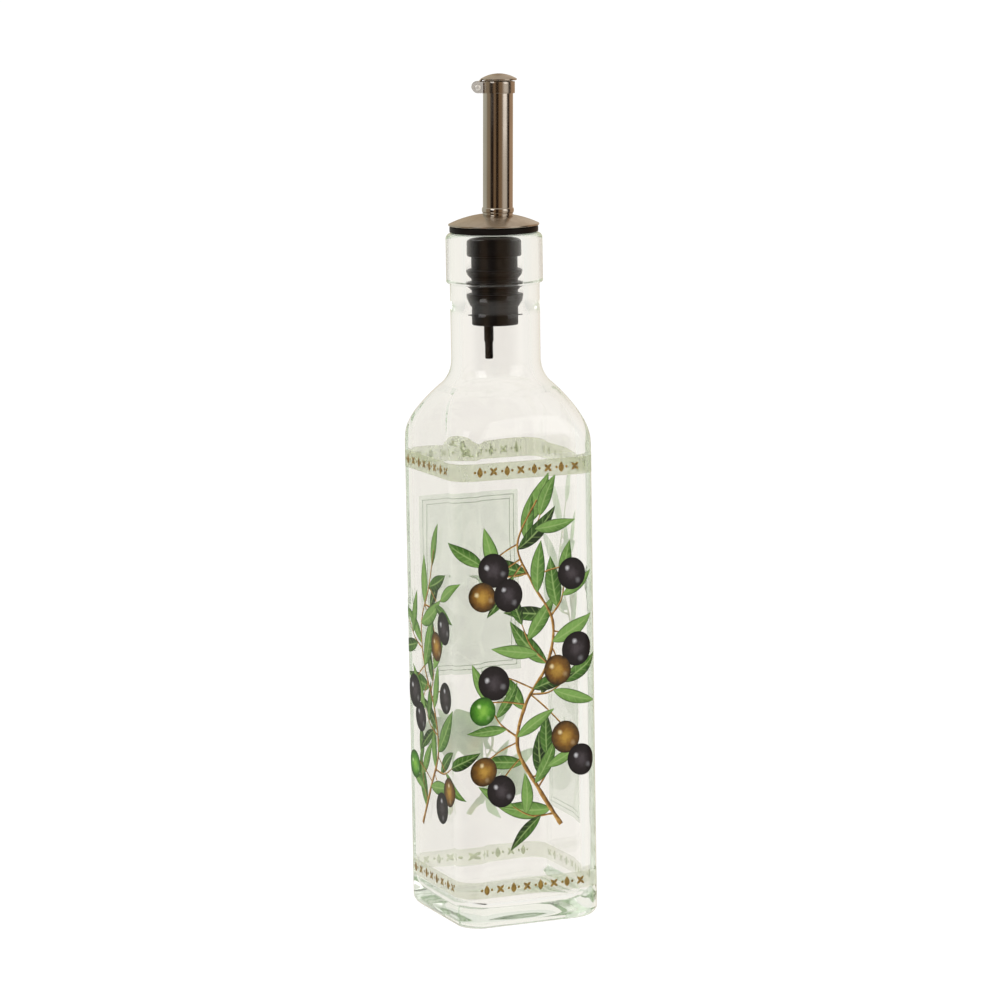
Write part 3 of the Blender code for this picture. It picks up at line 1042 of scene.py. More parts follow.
@dataclass
class PrintLayers:
    """Keeps how many layers of ink lie on each small cell of the print, so that no two share a level."""

    cell: float = 1.0
    tops: dict[tuple[int, int], int] = field(default_factory=dict)

    def above(self, spots: Grid) -> int:
        """Finds the layer that lies over everything printed where a patch goes, and takes it.

        Args:
            spots: The patch's grid of places, no more than 1.5 cells apart.

        Returns:
            The layer's number.
        """
        near = (-1, 0, 1)
        places = {(round(x / self.cell), round(z / self.cell)) for row in spots for x, z in row}
        cells = {(x + across, z + up) for x, z in places for across in near for up in near}
        layer = 1 + max(self.tops.get(cell, 0) for cell in cells)
        self.tops.update(dict.fromkeys(cells, layer))
        return layer


@dataclass
class InkSheet:
    """Patches of one ink, which become one piece. Its faces towards the glass have another ink."""

    name: str
    layers: PrintLayers
    surface: PrintSurface = field(default_factory=PrintSurface)
    points: list[Vector] = field(default_factory=list)
    marks: list[Corner] = field(default_factory=list)
    faces: list[tuple[int, ...]] = field(default_factory=list)
    backs: list[bool] = field(default_factory=list)

    def patch(self, spots: Grid, marks: Marks, on_glass: bool = False) -> None:
        """Adds a thin patch over all that is already printed there.

        Args:
            spots: Its grid of places round the body and up it.
            marks: The mark at each place, which its ink follows.
            on_glass: Whether it lies on the glass, under every other layer.
        """
        layer = 0 if on_glass else self.layers.above(spots)
        rows, columns = len(spots), len(spots[0])
        start = len(self.points)
        for lift in self.surface.span(layer):
            for spot_row, mark_row in zip(spots, marks):
                for (around, z), mark in zip(spot_row, mark_row):
                    self.points.append(self.surface.place(around, z, lift))
                    self.marks.append(mark)
        size = rows * columns

        def at(row: int, column: int, top: int) -> int:
            """The number of a point of the patch."""
            return start + top * size + row * columns + column

        for row in range(rows - 1):
            for column in range(columns - 1):
                for top in (0, 1):
                    corners = [(row, column), (row, column + 1), (row + 1, column + 1), (row + 1, column)]
                    self.face(tuple(at(r, c, top) for r, c in corners), top == 0)
        rim = [(0, c) for c in range(columns)] + [(r, columns - 1) for r in range(1, rows)]
        rim += [(rows - 1, c) for c in range(columns - 2, -1, -1)] + [(r, 0) for r in range(rows - 2, 0, -1)]
        for first, second in zip(rim, rim[1:] + rim[:1]):
            self.face((at(*first, 0), at(*second, 0), at(*second, 1), at(*first, 1)), False)

    def face(self, corners: tuple[int, ...], back: bool) -> None:
        """Adds a face.

        Args:
            corners: Its points.
            back: Whether it lies towards the glass.
        """
        self.faces.append(corners)
        self.backs.append(back)

    def build(self, ink: bpy.types.Material, underside: bpy.types.Material) -> None:
        """Makes the piece.

        Args:
            ink: The ink.
            underside: The ink's look through the glass.
        """
        piece = solid(self.name, self.points, self.faces)
        mark = piece.data.attributes.new(MARK, "FLOAT_VECTOR", "POINT")
        mark.data.foreach_set("vector", [x for place in self.marks for x in place])
        piece.data.polygons.foreach_set("material_index", [int(back) for back in self.backs])
        settle(piece, [ink, underside], "bottle", "")


@dataclass(frozen=True)
class Leaf:
    """A leaf of the print: pointed at both ends, broadest before its middle."""

    around: float
    z: float
    heading: float
    length: float
    width: float
    bend: float
    tone: float

    def grid(self, rows: int = 12, columns: int = 4) -> tuple[Grid, Marks]:
        """Gives the leaf's places and marks.

        Args:
            rows: How many cells it has along.
            columns: How many cells it has across.

        Returns:
            Its grid of places, and their marks.
        """
        spots: Grid = []
        marks: Marks = []
        x, z = self.around, self.z
        for row in range(rows + 1):
            along = row / rows
            angle = math.radians(self.heading + self.bend * (along - 0.5))
            if row:
                x += math.cos(angle) * self.length / rows
                z += math.sin(angle) * self.length / rows
            swell = math.sin(math.pi * min(0.995, max(0.006, along)) ** 0.82) ** 0.9
            half = self.width / 2 * max(0.03, swell)
            sides = [2 * column / columns - 1 for column in range(columns + 1)]
            spots.append([(x - math.sin(angle) * half * s, z + math.cos(angle) * half * s) for s in sides])
            marks.append([(along, s, self.tone) for s in sides])
        return spots, marks


@dataclass(frozen=True)
class Berry:
    """A round berry of the print."""

    around: float
    z: float
    radius: float
    ripeness: Ripeness
    tilt: float = 0.0

    def grid(self, cells: int = 12) -> tuple[Grid, Marks]:
        """Gives the berry's places and marks.

        Args:
            cells: How many cells its grid has each way.

        Returns:
            Its grid of places, and their marks.
        """
        spots: Grid = []
        marks: Marks = []
        turn = math.radians(self.tilt)
        for row in range(cells + 1):
            spot_row: list[Point] = []
            mark_row: list[Corner] = []
            for column in range(cells + 1):
                a, b = 2 * column / cells - 1, 2 * row / cells - 1
                x, y = a * math.sqrt(1 - b * b / 2), b * math.sqrt(1 - a * a / 2)
                tall = y * 1.08
                across = self.radius * (x * math.cos(turn) - tall * math.sin(turn))
                up = self.radius * (x * math.sin(turn) + tall * math.cos(turn))
                spot_row.append((self.around + across, self.z + up))
                mark_row.append((x, y, 0.5))
            spots.append(spot_row)
            marks.append(mark_row)
        return spots, marks


def smooth_line(controls: Sequence[Point], per_span: int = 8) -> list[Point]:
    """Draws a smooth line through points.

    Args:
        controls: The points.
        per_span: How many edges each span gets.

    Returns:
        The line's points.
    """
    padded = [controls[0], *controls, controls[-1]]
    made: list[Point] = []
    for first, second, third, fourth in zip(padded, padded[1:], padded[2:], padded[3:]):
        for step in range(per_span):
            t = step / per_span
            weights = (
                (-t + 2 * t**2 - t**3) / 2,
                (2 - 5 * t**2 + 3 * t**3) / 2,
                (t + 4 * t**2 - 3 * t**3) / 2,
                (-(t**2) + t**3) / 2,
            )
            group = (first, second, third, fourth)
            made.append(tuple(sum(w * p[k] for w, p in zip(weights, group)) for k in (0, 1)))
    made.append(tuple(controls[-1]))
    return made


@dataclass(frozen=True)
class Stem:
    """A stem of the print, which thins towards its end."""

    controls: tuple[Point, ...]
    start_width: float = 1.3
    end_width: float = 0.5

    def line(self) -> list[Point]:
        """The stem's middle line."""
        return smooth_line(self.controls)

    def grid(self) -> tuple[Grid, Marks]:
        """Gives the stem's places and marks.

        Returns:
            Its grid of places, and their marks.
        """
        line = self.line()
        spots: Grid = []
        marks: Marks = []
        for i, (x, z) in enumerate(line):
            before, after = line[max(0, i - 1)], line[min(len(line) - 1, i + 1)]
            way = Vector((after[0] - before[0], after[1] - before[1])).normalized()
            share = i / (len(line) - 1)
            knot = 1 + 0.18 * math.sin(i * 1.7) * math.sin(i * 0.6)
            half = (self.start_width + (self.end_width - self.start_width) * share) / 2 * knot
            sides = (-1.0, 0.0, 1.0)
            spots.append([(x - way.y * half * s, z + way.x * half * s) for s in sides])
            marks.append([(share, s, 0.5) for s in sides])
        return spots, marks


@dataclass
class Sprig:
    """A climbing stem on one face, with shoots, leaves and berries in its own layout."""

    face: int
    main: tuple[Point, ...]
    shoots: tuple[tuple[float, float, float, float], ...]
    berries: tuple[tuple[float, float, float, Ripeness], ...]
    leaf_step: float = 0.072
    seed: int = 1

    def middle(self) -> float:
        """How far round the body the face's middle is."""
        return self.face * PrintSurface().face_width()

    def leaves_along(
        self, line: Sequence[Point], chance: random.Random, step: float, size: float
    ) -> Iterator[Leaf]:
        """Sets leaves along a line, on its left and right in turn, and one at its end.

        Args:
            line: The line.
            chance: Where the small differences come from.
            step: How much of the line lies between two leaves.
            size: How long a leaf is.

        Yields:
            The leaves.
        """
        side = 1
        count = int(1 / step)
        for i in range(1, count + 1):
            share = min(1.0, i * step)
            at = min(len(line) - 2, int(share * (len(line) - 1)))
            (x, z), (next_x, next_z) = line[at], line[at + 1]
            heading = math.degrees(math.atan2(next_z - z, next_x - x))
            last = i == count
            swing = 0.0 if last else side * chance.uniform(34, 62)
            length = size * chance.uniform(0.86, 1.14)
            width = length * chance.uniform(0.26, 0.33)
            bend = -side * chance.uniform(-14, 26)
            yield Leaf(x, z, heading + swing, length, width, bend, chance.random())
            side = -side

    def draw(
        self, twigs: InkSheet, low_leaves: InkSheet, high_leaves: InkSheet, fruit: dict[Ripeness, InkSheet]
    ) -> None:
        """Draws the sprig.

        Args:
            twigs: Takes the stems.
            low_leaves: Takes the leaves under the stems.
            high_leaves: Takes the leaves over the stems.
            fruit: Takes the berries of each ripeness.
        """
        chance = random.Random(self.seed)
        offset = self.middle()
        main = Stem(tuple((x + offset, z) for x, z in self.main), 1.5, 0.6)
        line = main.line()
        shoots: list[Stem] = []
        leaves = list(self.leaves_along(line, chance, self.leaf_step, 18.0))
        for share, swing, length, curl in self.shoots:
            at = int(share * (len(line) - 2))
            (x, z), (next_x, next_z) = line[at], line[at + 1]
            heading = math.radians(math.degrees(math.atan2(next_z - z, next_x - x)) + swing)
            middle = (x + math.cos(heading) * length / 2, z + math.sin(heading) * length / 2)
            late = heading + math.radians(curl)
            tip = (middle[0] + math.cos(late) * length / 2, middle[1] + math.sin(late) * length / 2)
            shoot = Stem(((x, z), middle, tip), 0.8, 0.35)
            shoots.append(shoot)
            leaves += self.leaves_along(shoot.line(), chance, 0.33, 15.0)
        for leaf in leaves[::2]:
            low_leaves.patch(*leaf.grid())
        for x, z, radius, _ in self.berries:
            near = min(line, key=lambda p: math.hypot(p[0] - x - offset, p[1] - z - 7))
            bow = ((near[0] + x + offset) / 2, (near[1] + z) / 2 + 2.0)
            shoots.append(Stem((near, bow, (x + offset, z + radius * 0.6)), 0.6, 0.45))
        for stem in (*shoots, main):
            twigs.patch(*stem.grid())
        for leaf in leaves[1::2]:
            high_leaves.patch(*leaf.grid())
        for x, z, radius, ripeness in self.berries:
            berry = Berry(x + offset, z, radius, ripeness, chance.uniform(-30, 30))
            fruit[ripeness].patch(*berry.grid())


@dataclass
class BotanicalPrint:
    """The print of leafy sprigs with berries on all four faces."""

    layers: PrintLayers

    def sprigs(self) -> list[Sprig]:
        """Lays out the sprigs.

        Returns:
            Those of the four faces: front, right, back and left.
        """
        dark, amber, green = Ripeness.DARK, Ripeness.AMBER, Ripeness.GREEN
        front = Sprig(
            0,
            ((10, 33), (2, 46), (-5, 60), (-2, 74), (6, 87), (8, 101), (1, 114), (-4, 127), (3, 141)),
            (
                (0.06, 58, 16, -30), (0.14, -62, 12, 30), (0.30, 58, 16, -24), (0.42, -55, 13, 30),
                (0.52, 62, 17, -20), (0.66, -60, 12, 26), (0.80, 64, 17, -30), (0.88, -50, 14, 24),
            ),
            (
                (-12.5, 119, 5.3, dark), (-16.5, 110.5, 4.6, amber), (-7.5, 110.5, 5.0, dark),
                (15, 116, 4.9, dark), (16.5, 91, 5.3, dark), (9.5, 84.5, 4.7, amber),
                (-13, 82, 5.4, dark), (-17, 73, 4.4, green), (12, 62, 5.0, amber),
                (17.5, 54, 4.9, dark), (-11, 46, 5.0, dark), (-17, 53, 4.5, amber),
            ),
            seed=5,
        )
        left = Sprig(
            -1,
            ((-9, 30), (-1, 44), (6, 57), (3, 71), (-5, 84), (-7, 98), (0, 111), (5, 124)),
            (
                (0.10, 60, 15, -26), (0.22, -60, 15, 26), (0.36, 58, 14, -30), (0.50, -60, 14, 28),
                (0.64, 56, 15, -26), (0.80, -56, 15, 26),
            ),
            (
                (12.5, 99, 5.1, dark), (6, 92, 4.5, amber), (-14, 74, 5.2, dark), (-9, 66, 4.6, dark),
                (13, 76, 4.9, dark), (15, 45, 4.6, amber), (8.5, 38.5, 5.0, dark), (-15, 49, 4.4, green),
            ),
            seed=11,
        )
        right = Sprig(
            1,
            ((-8, 88), (-2, 100), (5, 112), (2, 126), (-3, 140)),
            ((0.25, -60, 14, 28), (0.55, 60, 14, -26)),
            ((13, 104, 4.8, dark), (-13, 112, 5.0, dark), (-8, 104, 4.4, amber)),
            leaf_step=0.13,
            seed=23,
        )
        back = Sprig(
            2,
            ((8, 28), (2, 40), (-6, 51), (-3, 64)),
            ((0.3, 60, 14, -28), (0.6, -60, 13, 26)),
            ((-14, 38, 5.0, dark), (12, 57, 4.8, dark), (6, 51.5, 4.4, amber)),
            leaf_step=0.16,
            seed=31,
        )
        return [front, right, back, left]

    def build(self, underside: bpy.types.Material) -> None:
        """Builds the print.

        Args:
            underside: The inks' look through the glass.
        """
        names = ("print_twigs", "print_leaves_low", "print_leaves_high")
        twigs, low, high = (InkSheet(name, self.layers) for name in names)
        fruit = {kind: InkSheet(f"print_{kind.value[0]}_berries", self.layers) for kind in Ripeness}
        for sprig in self.sprigs():
            sprig.draw(twigs, low, high, fruit)
        leaf_ink = LeafInk().make()
        twigs.build(TwigInk().make(), underside)
        low.build(leaf_ink, underside)
        high.build(leaf_ink, underside)
        for ripeness, sheet in fruit.items():
            sheet.build(BerryInk(ripeness).make(), underside)


@dataclass
class PrintedBands:
    """Two sage bands round the body, each with a row of small gold ornaments."""

    top: tuple[float, float] = (148.45, 154.15)
    bottom: tuple[float, float] = (10.74, 16.3)
    per_face: int = 8
    spacing: float = 4.75
    layers: PrintLayers = field(default_factory=PrintLayers)
    surface: PrintSurface = field(default_factory=PrintSurface)

    def ring(self, name: str, low: float, high: float, ink: bpy.types.Material) -> None:
        """Builds a band.

        Args:
            name: Its name.
            low: Its lower edge.
            high: Its upper edge.
            ink: Its ink.
        """
        sheet = InkSheet(name, self.layers)
        width = self.surface.face_width()
        flat = self.surface.half - self.surface.corner
        local = [-flat * 0.98, -flat * 0.5, 0.0, flat * 0.5, flat * 0.98]
        local += [flat + (width / 2 - flat) * step / 6 for step in range(7)]
        local += [-width / 2 + (width / 2 - flat) * step / 6 for step in range(1, 7)]
        places = sorted(local)
        around = [face * width + place for face in range(4) for place in places]
        near, far = self.surface.span(0)
        for z, lift in ((low, near), (high, near), (high, far), (low, far)):
            for place in around:
                sheet.points.append(self.surface.place(place, z, lift))
                sheet.marks.append((place / width, z / 10, 0.5))
        count = len(around)
        for row in range(4):
            for i in range(count):
                j = (i + 1) % count
                below, above = row * count, (row + 1) % 4 * count
                sheet.face((below + i, below + j, above + j, above + i), row == 0)
        sheet.build(ink, ink)

    def ornaments(self) -> Iterator[tuple[Grid, Marks]]:
        """Goes round both bands' ornaments: lozenges with a dot at each side, and four-leaved flowers.

        Yields:
            Each small shape's grid of places, and their marks.
        """
        width = self.surface.face_width()
        for low, high in (self.top, self.bottom):
            z = (low + high) / 2
            for face in range(4):
                for i in range(self.per_face):
                    around = face * width + (i - (self.per_face - 1) / 2) * self.spacing
                    if i % 2:
                        for quarter in range(4):
                            heading = 45 + 90 * quarter
                            yield Leaf(around, z, heading, 1.75, 0.95, 0, 0.5).grid(4, 2)
                    else:
                        yield Leaf(around, z - 1.7, 90, 3.4, 1.9, 0, 0.5).grid(6, 2)
                        for side in (-1, 1):
                            yield Berry(around + side * 1.75, z, 0.42, Ripeness.AMBER).grid(3)

    def build(self, inks: tuple[bpy.types.Material, bpy.types.Material], *gold: bpy.types.Material) -> None:
        """Builds both bands and their ornaments.

        Args:
            inks: The top band's ink and the bottom one's.
            *gold: The ornaments' ink, and its look through the glass.
        """
        self.ring("print_band_top", *self.top, inks[0])
        self.ring("print_band_bottom", *self.bottom, inks[1])
        sheet = InkSheet("print_band_ornaments", self.layers)
        for spots, marks in self.ornaments():
            sheet.patch(spots, marks)
        sheet.build(*gold)


@dataclass
class RearPanels:
    """Pale panels on the two faces away from the camera, with thin ruled borders and a rosette."""

    layers: PrintLayers
    panels: tuple[tuple[int, float, float, float], ...] = ((2, 16.8, 76.0, 137.5), (1, 16.0, 30.0, 82.0))
    line: float = 0.28
    inset: float = 1.5

    def rectangle(self, left: float, right: float, low: float, high: float) -> tuple[Grid, Marks]:
        """Gives a rectangle's places and marks.

        Args:
            left: Its left edge.
            right: Its right edge.
            low: Its lower edge.
            high: Its upper edge.

        Returns:
            Its grid of places, and their marks.
        """
        columns, rows = math.ceil(right - left), math.ceil(high - low)
        places = [left + (right - left) * i / columns for i in range(columns + 1)]
        heights = [low + (high - low) * i / rows for i in range(rows + 1)]
        spots = [[(place, z) for place in places] for z in heights]
        marks = [[(place / 10, z / 10, 0.5) for place in places] for z in heights]
        return spots, marks

    def build(self, ink: bpy.types.Material, line_ink: bpy.types.Material) -> None:
        """Builds the panels and their lines.

        Args:
            ink: The panels' ink.
            line_ink: The lines' ink.
        """
        fields = InkSheet("print_panels", self.layers)
        lines = InkSheet("print_panel_lines", self.layers)
        for face, half, low, high in self.panels:
            middle = face * PrintSurface().face_width()
            left, right = middle - half, middle + half
            fields.patch(*self.rectangle(left, right, low, high), on_glass=True)
            for inset in (self.inset, self.inset * 2):
                near, far, foot, top = left + inset, right - inset, low + inset, high - inset
                inner_foot, inner_top = foot + self.line, top - self.line
                for edges in (
                    (near, far, foot, inner_foot),
                    (near, far, inner_top, top),
                    (near, near + self.line, inner_foot, inner_top),
                    (far - self.line, far, inner_foot, inner_top),
                ):
                    lines.patch(*self.rectangle(*edges))
            centre = (low + high) / 2
            for petal in range(8):
                heading = 22.5 + 45 * petal
                lines.patch(*Leaf(middle, centre, heading, 7.5, 2.2, 0, 0.5).grid(6, 2))
        fields.build(ink, ink)
        lines.build(line_ink, line_ink)


@dataclass
class Stopper:
    """The ribbed stopper with its flange, and the thin vent tube under it."""

    seat: PourerFrame
    flange_radius: float = 14.5
    flange_bottom: float = 226.3
    flange_top: float = 228.3
    plug_radius: float = 9.0
    plug_bottom: float = 218.7
    core: float = 7.6
    bottom: float = 196.3
    rib_radius: float = 9.2
    rib_tops: tuple[float, ...] = (214.4, 210.5, 206.5)
    rib_height: float = 2.8
    fin_radius: float = 8.8
    fin_z: float = 200.3
    fin_thick: float = 0.5
    socket_radius: float = 5.1
    socket_bottom: float = 200.9
    channel_radius: float = 3.3
    channel_x: float = 3.15
    channel_overlap: float = 0.5
    drill_low: float = 190.0
    drill_high: float = 240.0
    vent_x: float = -2.2
    vent_radius: float = 1.55
    vent_top: float = 199.2
    vent_step: float = 191.2
    vent_tip_radius: float = 1.3
    vent_tip: float = 185.0
    vent_hole: float = 0.55
    vent_hole_deep: float = 3.0

    def profile(self) -> list[Point]:
        """Gives the stopper's profile.

        Returns:
            Its points, from the middle of its top to the middle of its underside.
        """
        core = self.core
        corners: list[Corner] = [
            (0, self.flange_top, 0),
            (self.flange_radius, self.flange_top, 0.4),
            (self.flange_radius, self.flange_bottom, 0.4),
            (self.plug_radius, self.flange_bottom, 0.3),
            (self.plug_radius, self.plug_bottom, 0.6),
            (core, self.plug_bottom, 0.3),
        ]
        for top in self.rib_tops:
            corners += [
                (core, top, 0.15),
                (self.rib_radius, top, 0.12),
                (self.rib_radius, top - self.rib_height * 0.12, 0.25),
                (self.rib_radius - 0.3, top - self.rib_height * 0.5, 0.8),
                (core + 0.5, top - self.rib_height * 0.85, 0.5),
                (core, top - self.rib_height, 0.2),
            ]
        high, low = self.fin_z + self.fin_thick / 2, self.fin_z - self.fin_thick / 2
        corners += [
            (core, high, 0.1),
            (self.fin_radius, high, 0.12),
            (self.fin_radius, low, 0.12),
            (core, low, 0.1),
            (core, self.bottom, 0.45),
            (0, self.bottom, 0),
        ]
        return rounded(corners)

    def drill(self, radius: float, low: float, high: float, x: float, place: Matrix) -> bpy.types.Object:
        """Makes an upright cutter.

        Args:
            radius: Its radius.
            low: Its lower end.
            high: Its upper end.
            x: How far off the axis it is.
            place: The frame that it stands in.

        Returns:
            The cutter.
        """
        made = lathe("drill", [(0, high), (radius, high), (radius, low), (0, low)], steps=64)
        made.matrix_world = place @ Matrix.Translation((x * MM, 0, 0))
        return made

    def build(self, finish: bpy.types.Material) -> None:
        """Builds the stopper and the vent tube.

        Args:
            finish: Their plastic.
        """
        upright = self.seat.upright()
        plug = lathe("ribbed_stopper", self.profile())
        plug.matrix_world = upright
        socket = self.drill(self.socket_radius, self.socket_bottom, self.drill_high, 0, self.seat.spout())
        combine(plug, socket, "DIFFERENCE")
        top = self.socket_bottom + self.channel_overlap
        channel = self.drill(self.channel_radius, self.drill_low, top, self.channel_x, upright)
        combine(plug, channel, "DIFFERENCE")
        settle(plug, [finish], "bottle", "black_stopper", CAD["stopper"])
        vent = lathe(
            "vent_pipe",
            rounded(
                [
                    (0, self.vent_top, 0),
                    (self.vent_radius, self.vent_top, 0.1),
                    (self.vent_radius, self.vent_step, 0.5),
                    (self.vent_tip_radius, self.vent_step - 1.0, 0.5),
                    (self.vent_tip_radius, self.vent_tip, 0.35),
                    (self.vent_hole, self.vent_tip, 0.15),
                    (self.vent_hole, self.vent_tip + self.vent_hole_deep, 0),
                    (0, self.vent_tip + self.vent_hole_deep, 0),
                ]
            ),
            steps=48,
        )
        vent.matrix_world = upright @ Matrix.Translation((self.vent_x * MM, 0, 0))
        settle(vent, [finish], "bottle", "black_stopper", CAD["vent_tube"])


@dataclass
class Spout:
    """The steel of the pourer that doesn't move: cover disc, tube, split collar and hinge pin."""

    seat: PourerFrame
    disc_radius: float = 14.85
    disc_bottom: float = 228.5
    disc_sheet: float = 0.5
    disc_rise: float = 3.4
    disc_hole: float = 5.0
    tube_radius: float = 4.9
    tube_wall: float = 0.5
    tube_top: float = 275.3
    tube_end: float = 221.9
    bead_radius: float = 5.25
    bead_z: float = 233.4
    bead_half: float = 0.9
    collar_radius: float = 5.5
    collar_bottom: float = 271.4
    collar_top: float = 275.1
    collar_sheet: float = 0.45
    collar_ease: float = 0.08
    ears_past: float = 5.4
    ear_y: float = 2.8
    pin_reach: float = PIN_REACH
    pin_radius: float = 0.55
    pin_head: float = 1.0
    pin_half: float = 3.25
    pin_head_thick: float = 0.45

    def pin_z(self) -> float:
        """The height of the hinge."""
        return (self.collar_bottom + self.collar_top) / 2

    def disc(self, finish: bpy.types.Material) -> None:
        """Builds the domed disc with its hole.

        Args:
            finish: Its steel.
        """
        outside = list(dome(self.disc_radius, self.disc_bottom + self.disc_sheet, self.disc_rise, 32))
        inside = list(dome(self.disc_radius - self.disc_sheet, self.disc_bottom, self.disc_rise, 32))
        outside[-1] = (*outside[-1][:2], 0.18)
        corners = [*outside, (self.disc_radius, self.disc_bottom, 0.18), *reversed(inside)]
        disc = lathe("steel_disc", rounded(corners), steps=128)
        disc.matrix_world = self.seat.upright()
        hole = lathe("drill", [(0, 240), (self.disc_hole, 240), (self.disc_hole, 220), (0, 220)], steps=96)
        hole.matrix_world = self.seat.spout()
        combine(disc, hole, "DIFFERENCE")
        settle(disc, [finish], "bottle", "bright_steel", CAD["cover_disc"])

    def tube(self, finish: bpy.types.Material) -> None:
        """Builds the tube with the bead at its foot.

        Args:
            finish: Its steel.
        """
        bore = self.tube_radius - self.tube_wall
        corners: list[Corner] = [(bore, self.tube_top, 0.12), (self.tube_radius, self.tube_top, 0.16)]
        swell = self.bead_radius - self.tube_radius
        for step in range(13):
            angle = math.radians(90 - 15 * step)
            height = self.bead_z + self.bead_half * math.sin(angle)
            corners.append((self.tube_radius + swell * math.cos(angle), height, 0))
        corners += [(self.tube_radius, self.tube_end, 0.1), (bore, self.tube_end, 0.1)]
        tube = lathe("steel_tube", rounded(corners, closed=True), closed=True)
        tube.matrix_world = self.seat.spout()
        settle(tube, [finish], "bottle", "bright_steel", CAD["pour_tube"])

    def collar_path(self) -> list[Point]:
        """Gives the collar's middle line, seen from above.

        Returns:
            Its points, from one ear's tip round the tube to the other's.
        """
        radius = self.collar_radius - self.collar_sheet / 2
        ear_round = (self.collar_top - self.collar_bottom) / 2
        meet = math.degrees(math.asin(self.ear_y / radius))
        join_x = -radius * math.cos(math.radians(meet))
        tip = -self.pin_reach - ear_round
        ear = [(tip + ear_round * (1 - math.cos(math.radians(90 * i / 8))), -self.ear_y) for i in range(9)]
        ear.append((join_x - 0.5, -self.ear_y))
        band = list(arc((0, 0), radius, -180 + meet + 5, 180 - meet - 5, 60))
        first, last = Vector(ear[-1]), Vector(band[0])
        knee = Vector((join_x, -self.ear_y))
        bend = [tuple(first.lerp(knee, t).lerp(knee.lerp(last, t), t)) for t in (0.25, 0.5, 0.75)]
        near = [*ear, *bend]
        return [*near, *band, *[(x, -y) for x, y in reversed(near)]]

    def collar(self, finish: bpy.types.Material, satin: bpy.types.Material) -> None:
        """Builds the split collar as a bent strip, round at its two ends.

        Args:
            finish: Its steel.
            satin: The duller steel of its pressed ears.
        """
        ear_round = (self.collar_top - self.collar_bottom) / 2
        path = self.collar_path()
        rows = 6
        points = []
        for x, y in path:
            past = min(1.0, max(0.0, (-self.pin_reach - x) / ear_round))
            reach = ear_round * math.sqrt(max(0.0004, 1 - past * past))
            points += [(x, y, self.pin_z() + reach * (2 * row / rows - 1)) for row in range(rows + 1)]
        count = rows + 1
        faces = [
            (i * count + row, (i + 1) * count + row, (i + 1) * count + row + 1, i * count + row + 1)
            for i in range(len(path) - 1)
            for row in range(rows)
        ]
        collar = solid("split_collar", points, faces)
        sheet = collar.modifiers.new("sheet", "SOLIDIFY")
        sheet.thickness = self.collar_sheet * MM
        sheet.offset = 0
        ease_edges(collar, self.collar_ease, 2)
        with_modifiers(collar)
        for side in collar.data.polygons:
            side.material_index = int(side.center.x < -self.ears_past * MM)
        collar.matrix_world = self.seat.spout()
        settle(collar, [finish, satin], "bottle", "bright_steel", CAD["lid_collar"])

    def pin(self, finish: bpy.types.Material) -> None:
        """Builds the rivet, with a domed head at each end.

        Args:
            finish: Its steel.
        """
        outer = self.pin_half + self.pin_head_thick
        rise = self.pin_head_thick * 0.7
        upper: list[Corner] = [
            *dome(self.pin_head * 0.92, outer - rise, rise, 5),
            (self.pin_head, outer - self.pin_head_thick * 0.75, 0.05),
            (self.pin_head, self.pin_half, 0.05),
            (self.pin_radius, self.pin_half, 0.05),
        ]
        lower = [(radius, -z, edge) for radius, z, edge in reversed(upper)]
        pin = lathe("hinge_rivet", rounded([*upper, *lower]), steps=40)
        place = Matrix.Translation((-self.pin_reach * MM, 0, self.pin_z() * MM))
        pin.matrix_world = self.seat.spout() @ place @ Matrix.Rotation(math.radians(90), 4, "X")
        settle(pin, [finish], "bottle", "bright_steel", CAD["hinge_pin"])

    def build(self, *steels: bpy.types.Material) -> None:
        """Builds all four pieces.

        Args:
            *steels: The steel brushed along the tube, that brushed round, the disc's and the satin one.
        """
        long_grain, round_grain, plain, satin = steels
        self.disc(plain)
        self.tube(long_grain)
        self.collar(round_grain, satin)
        self.pin(satin)


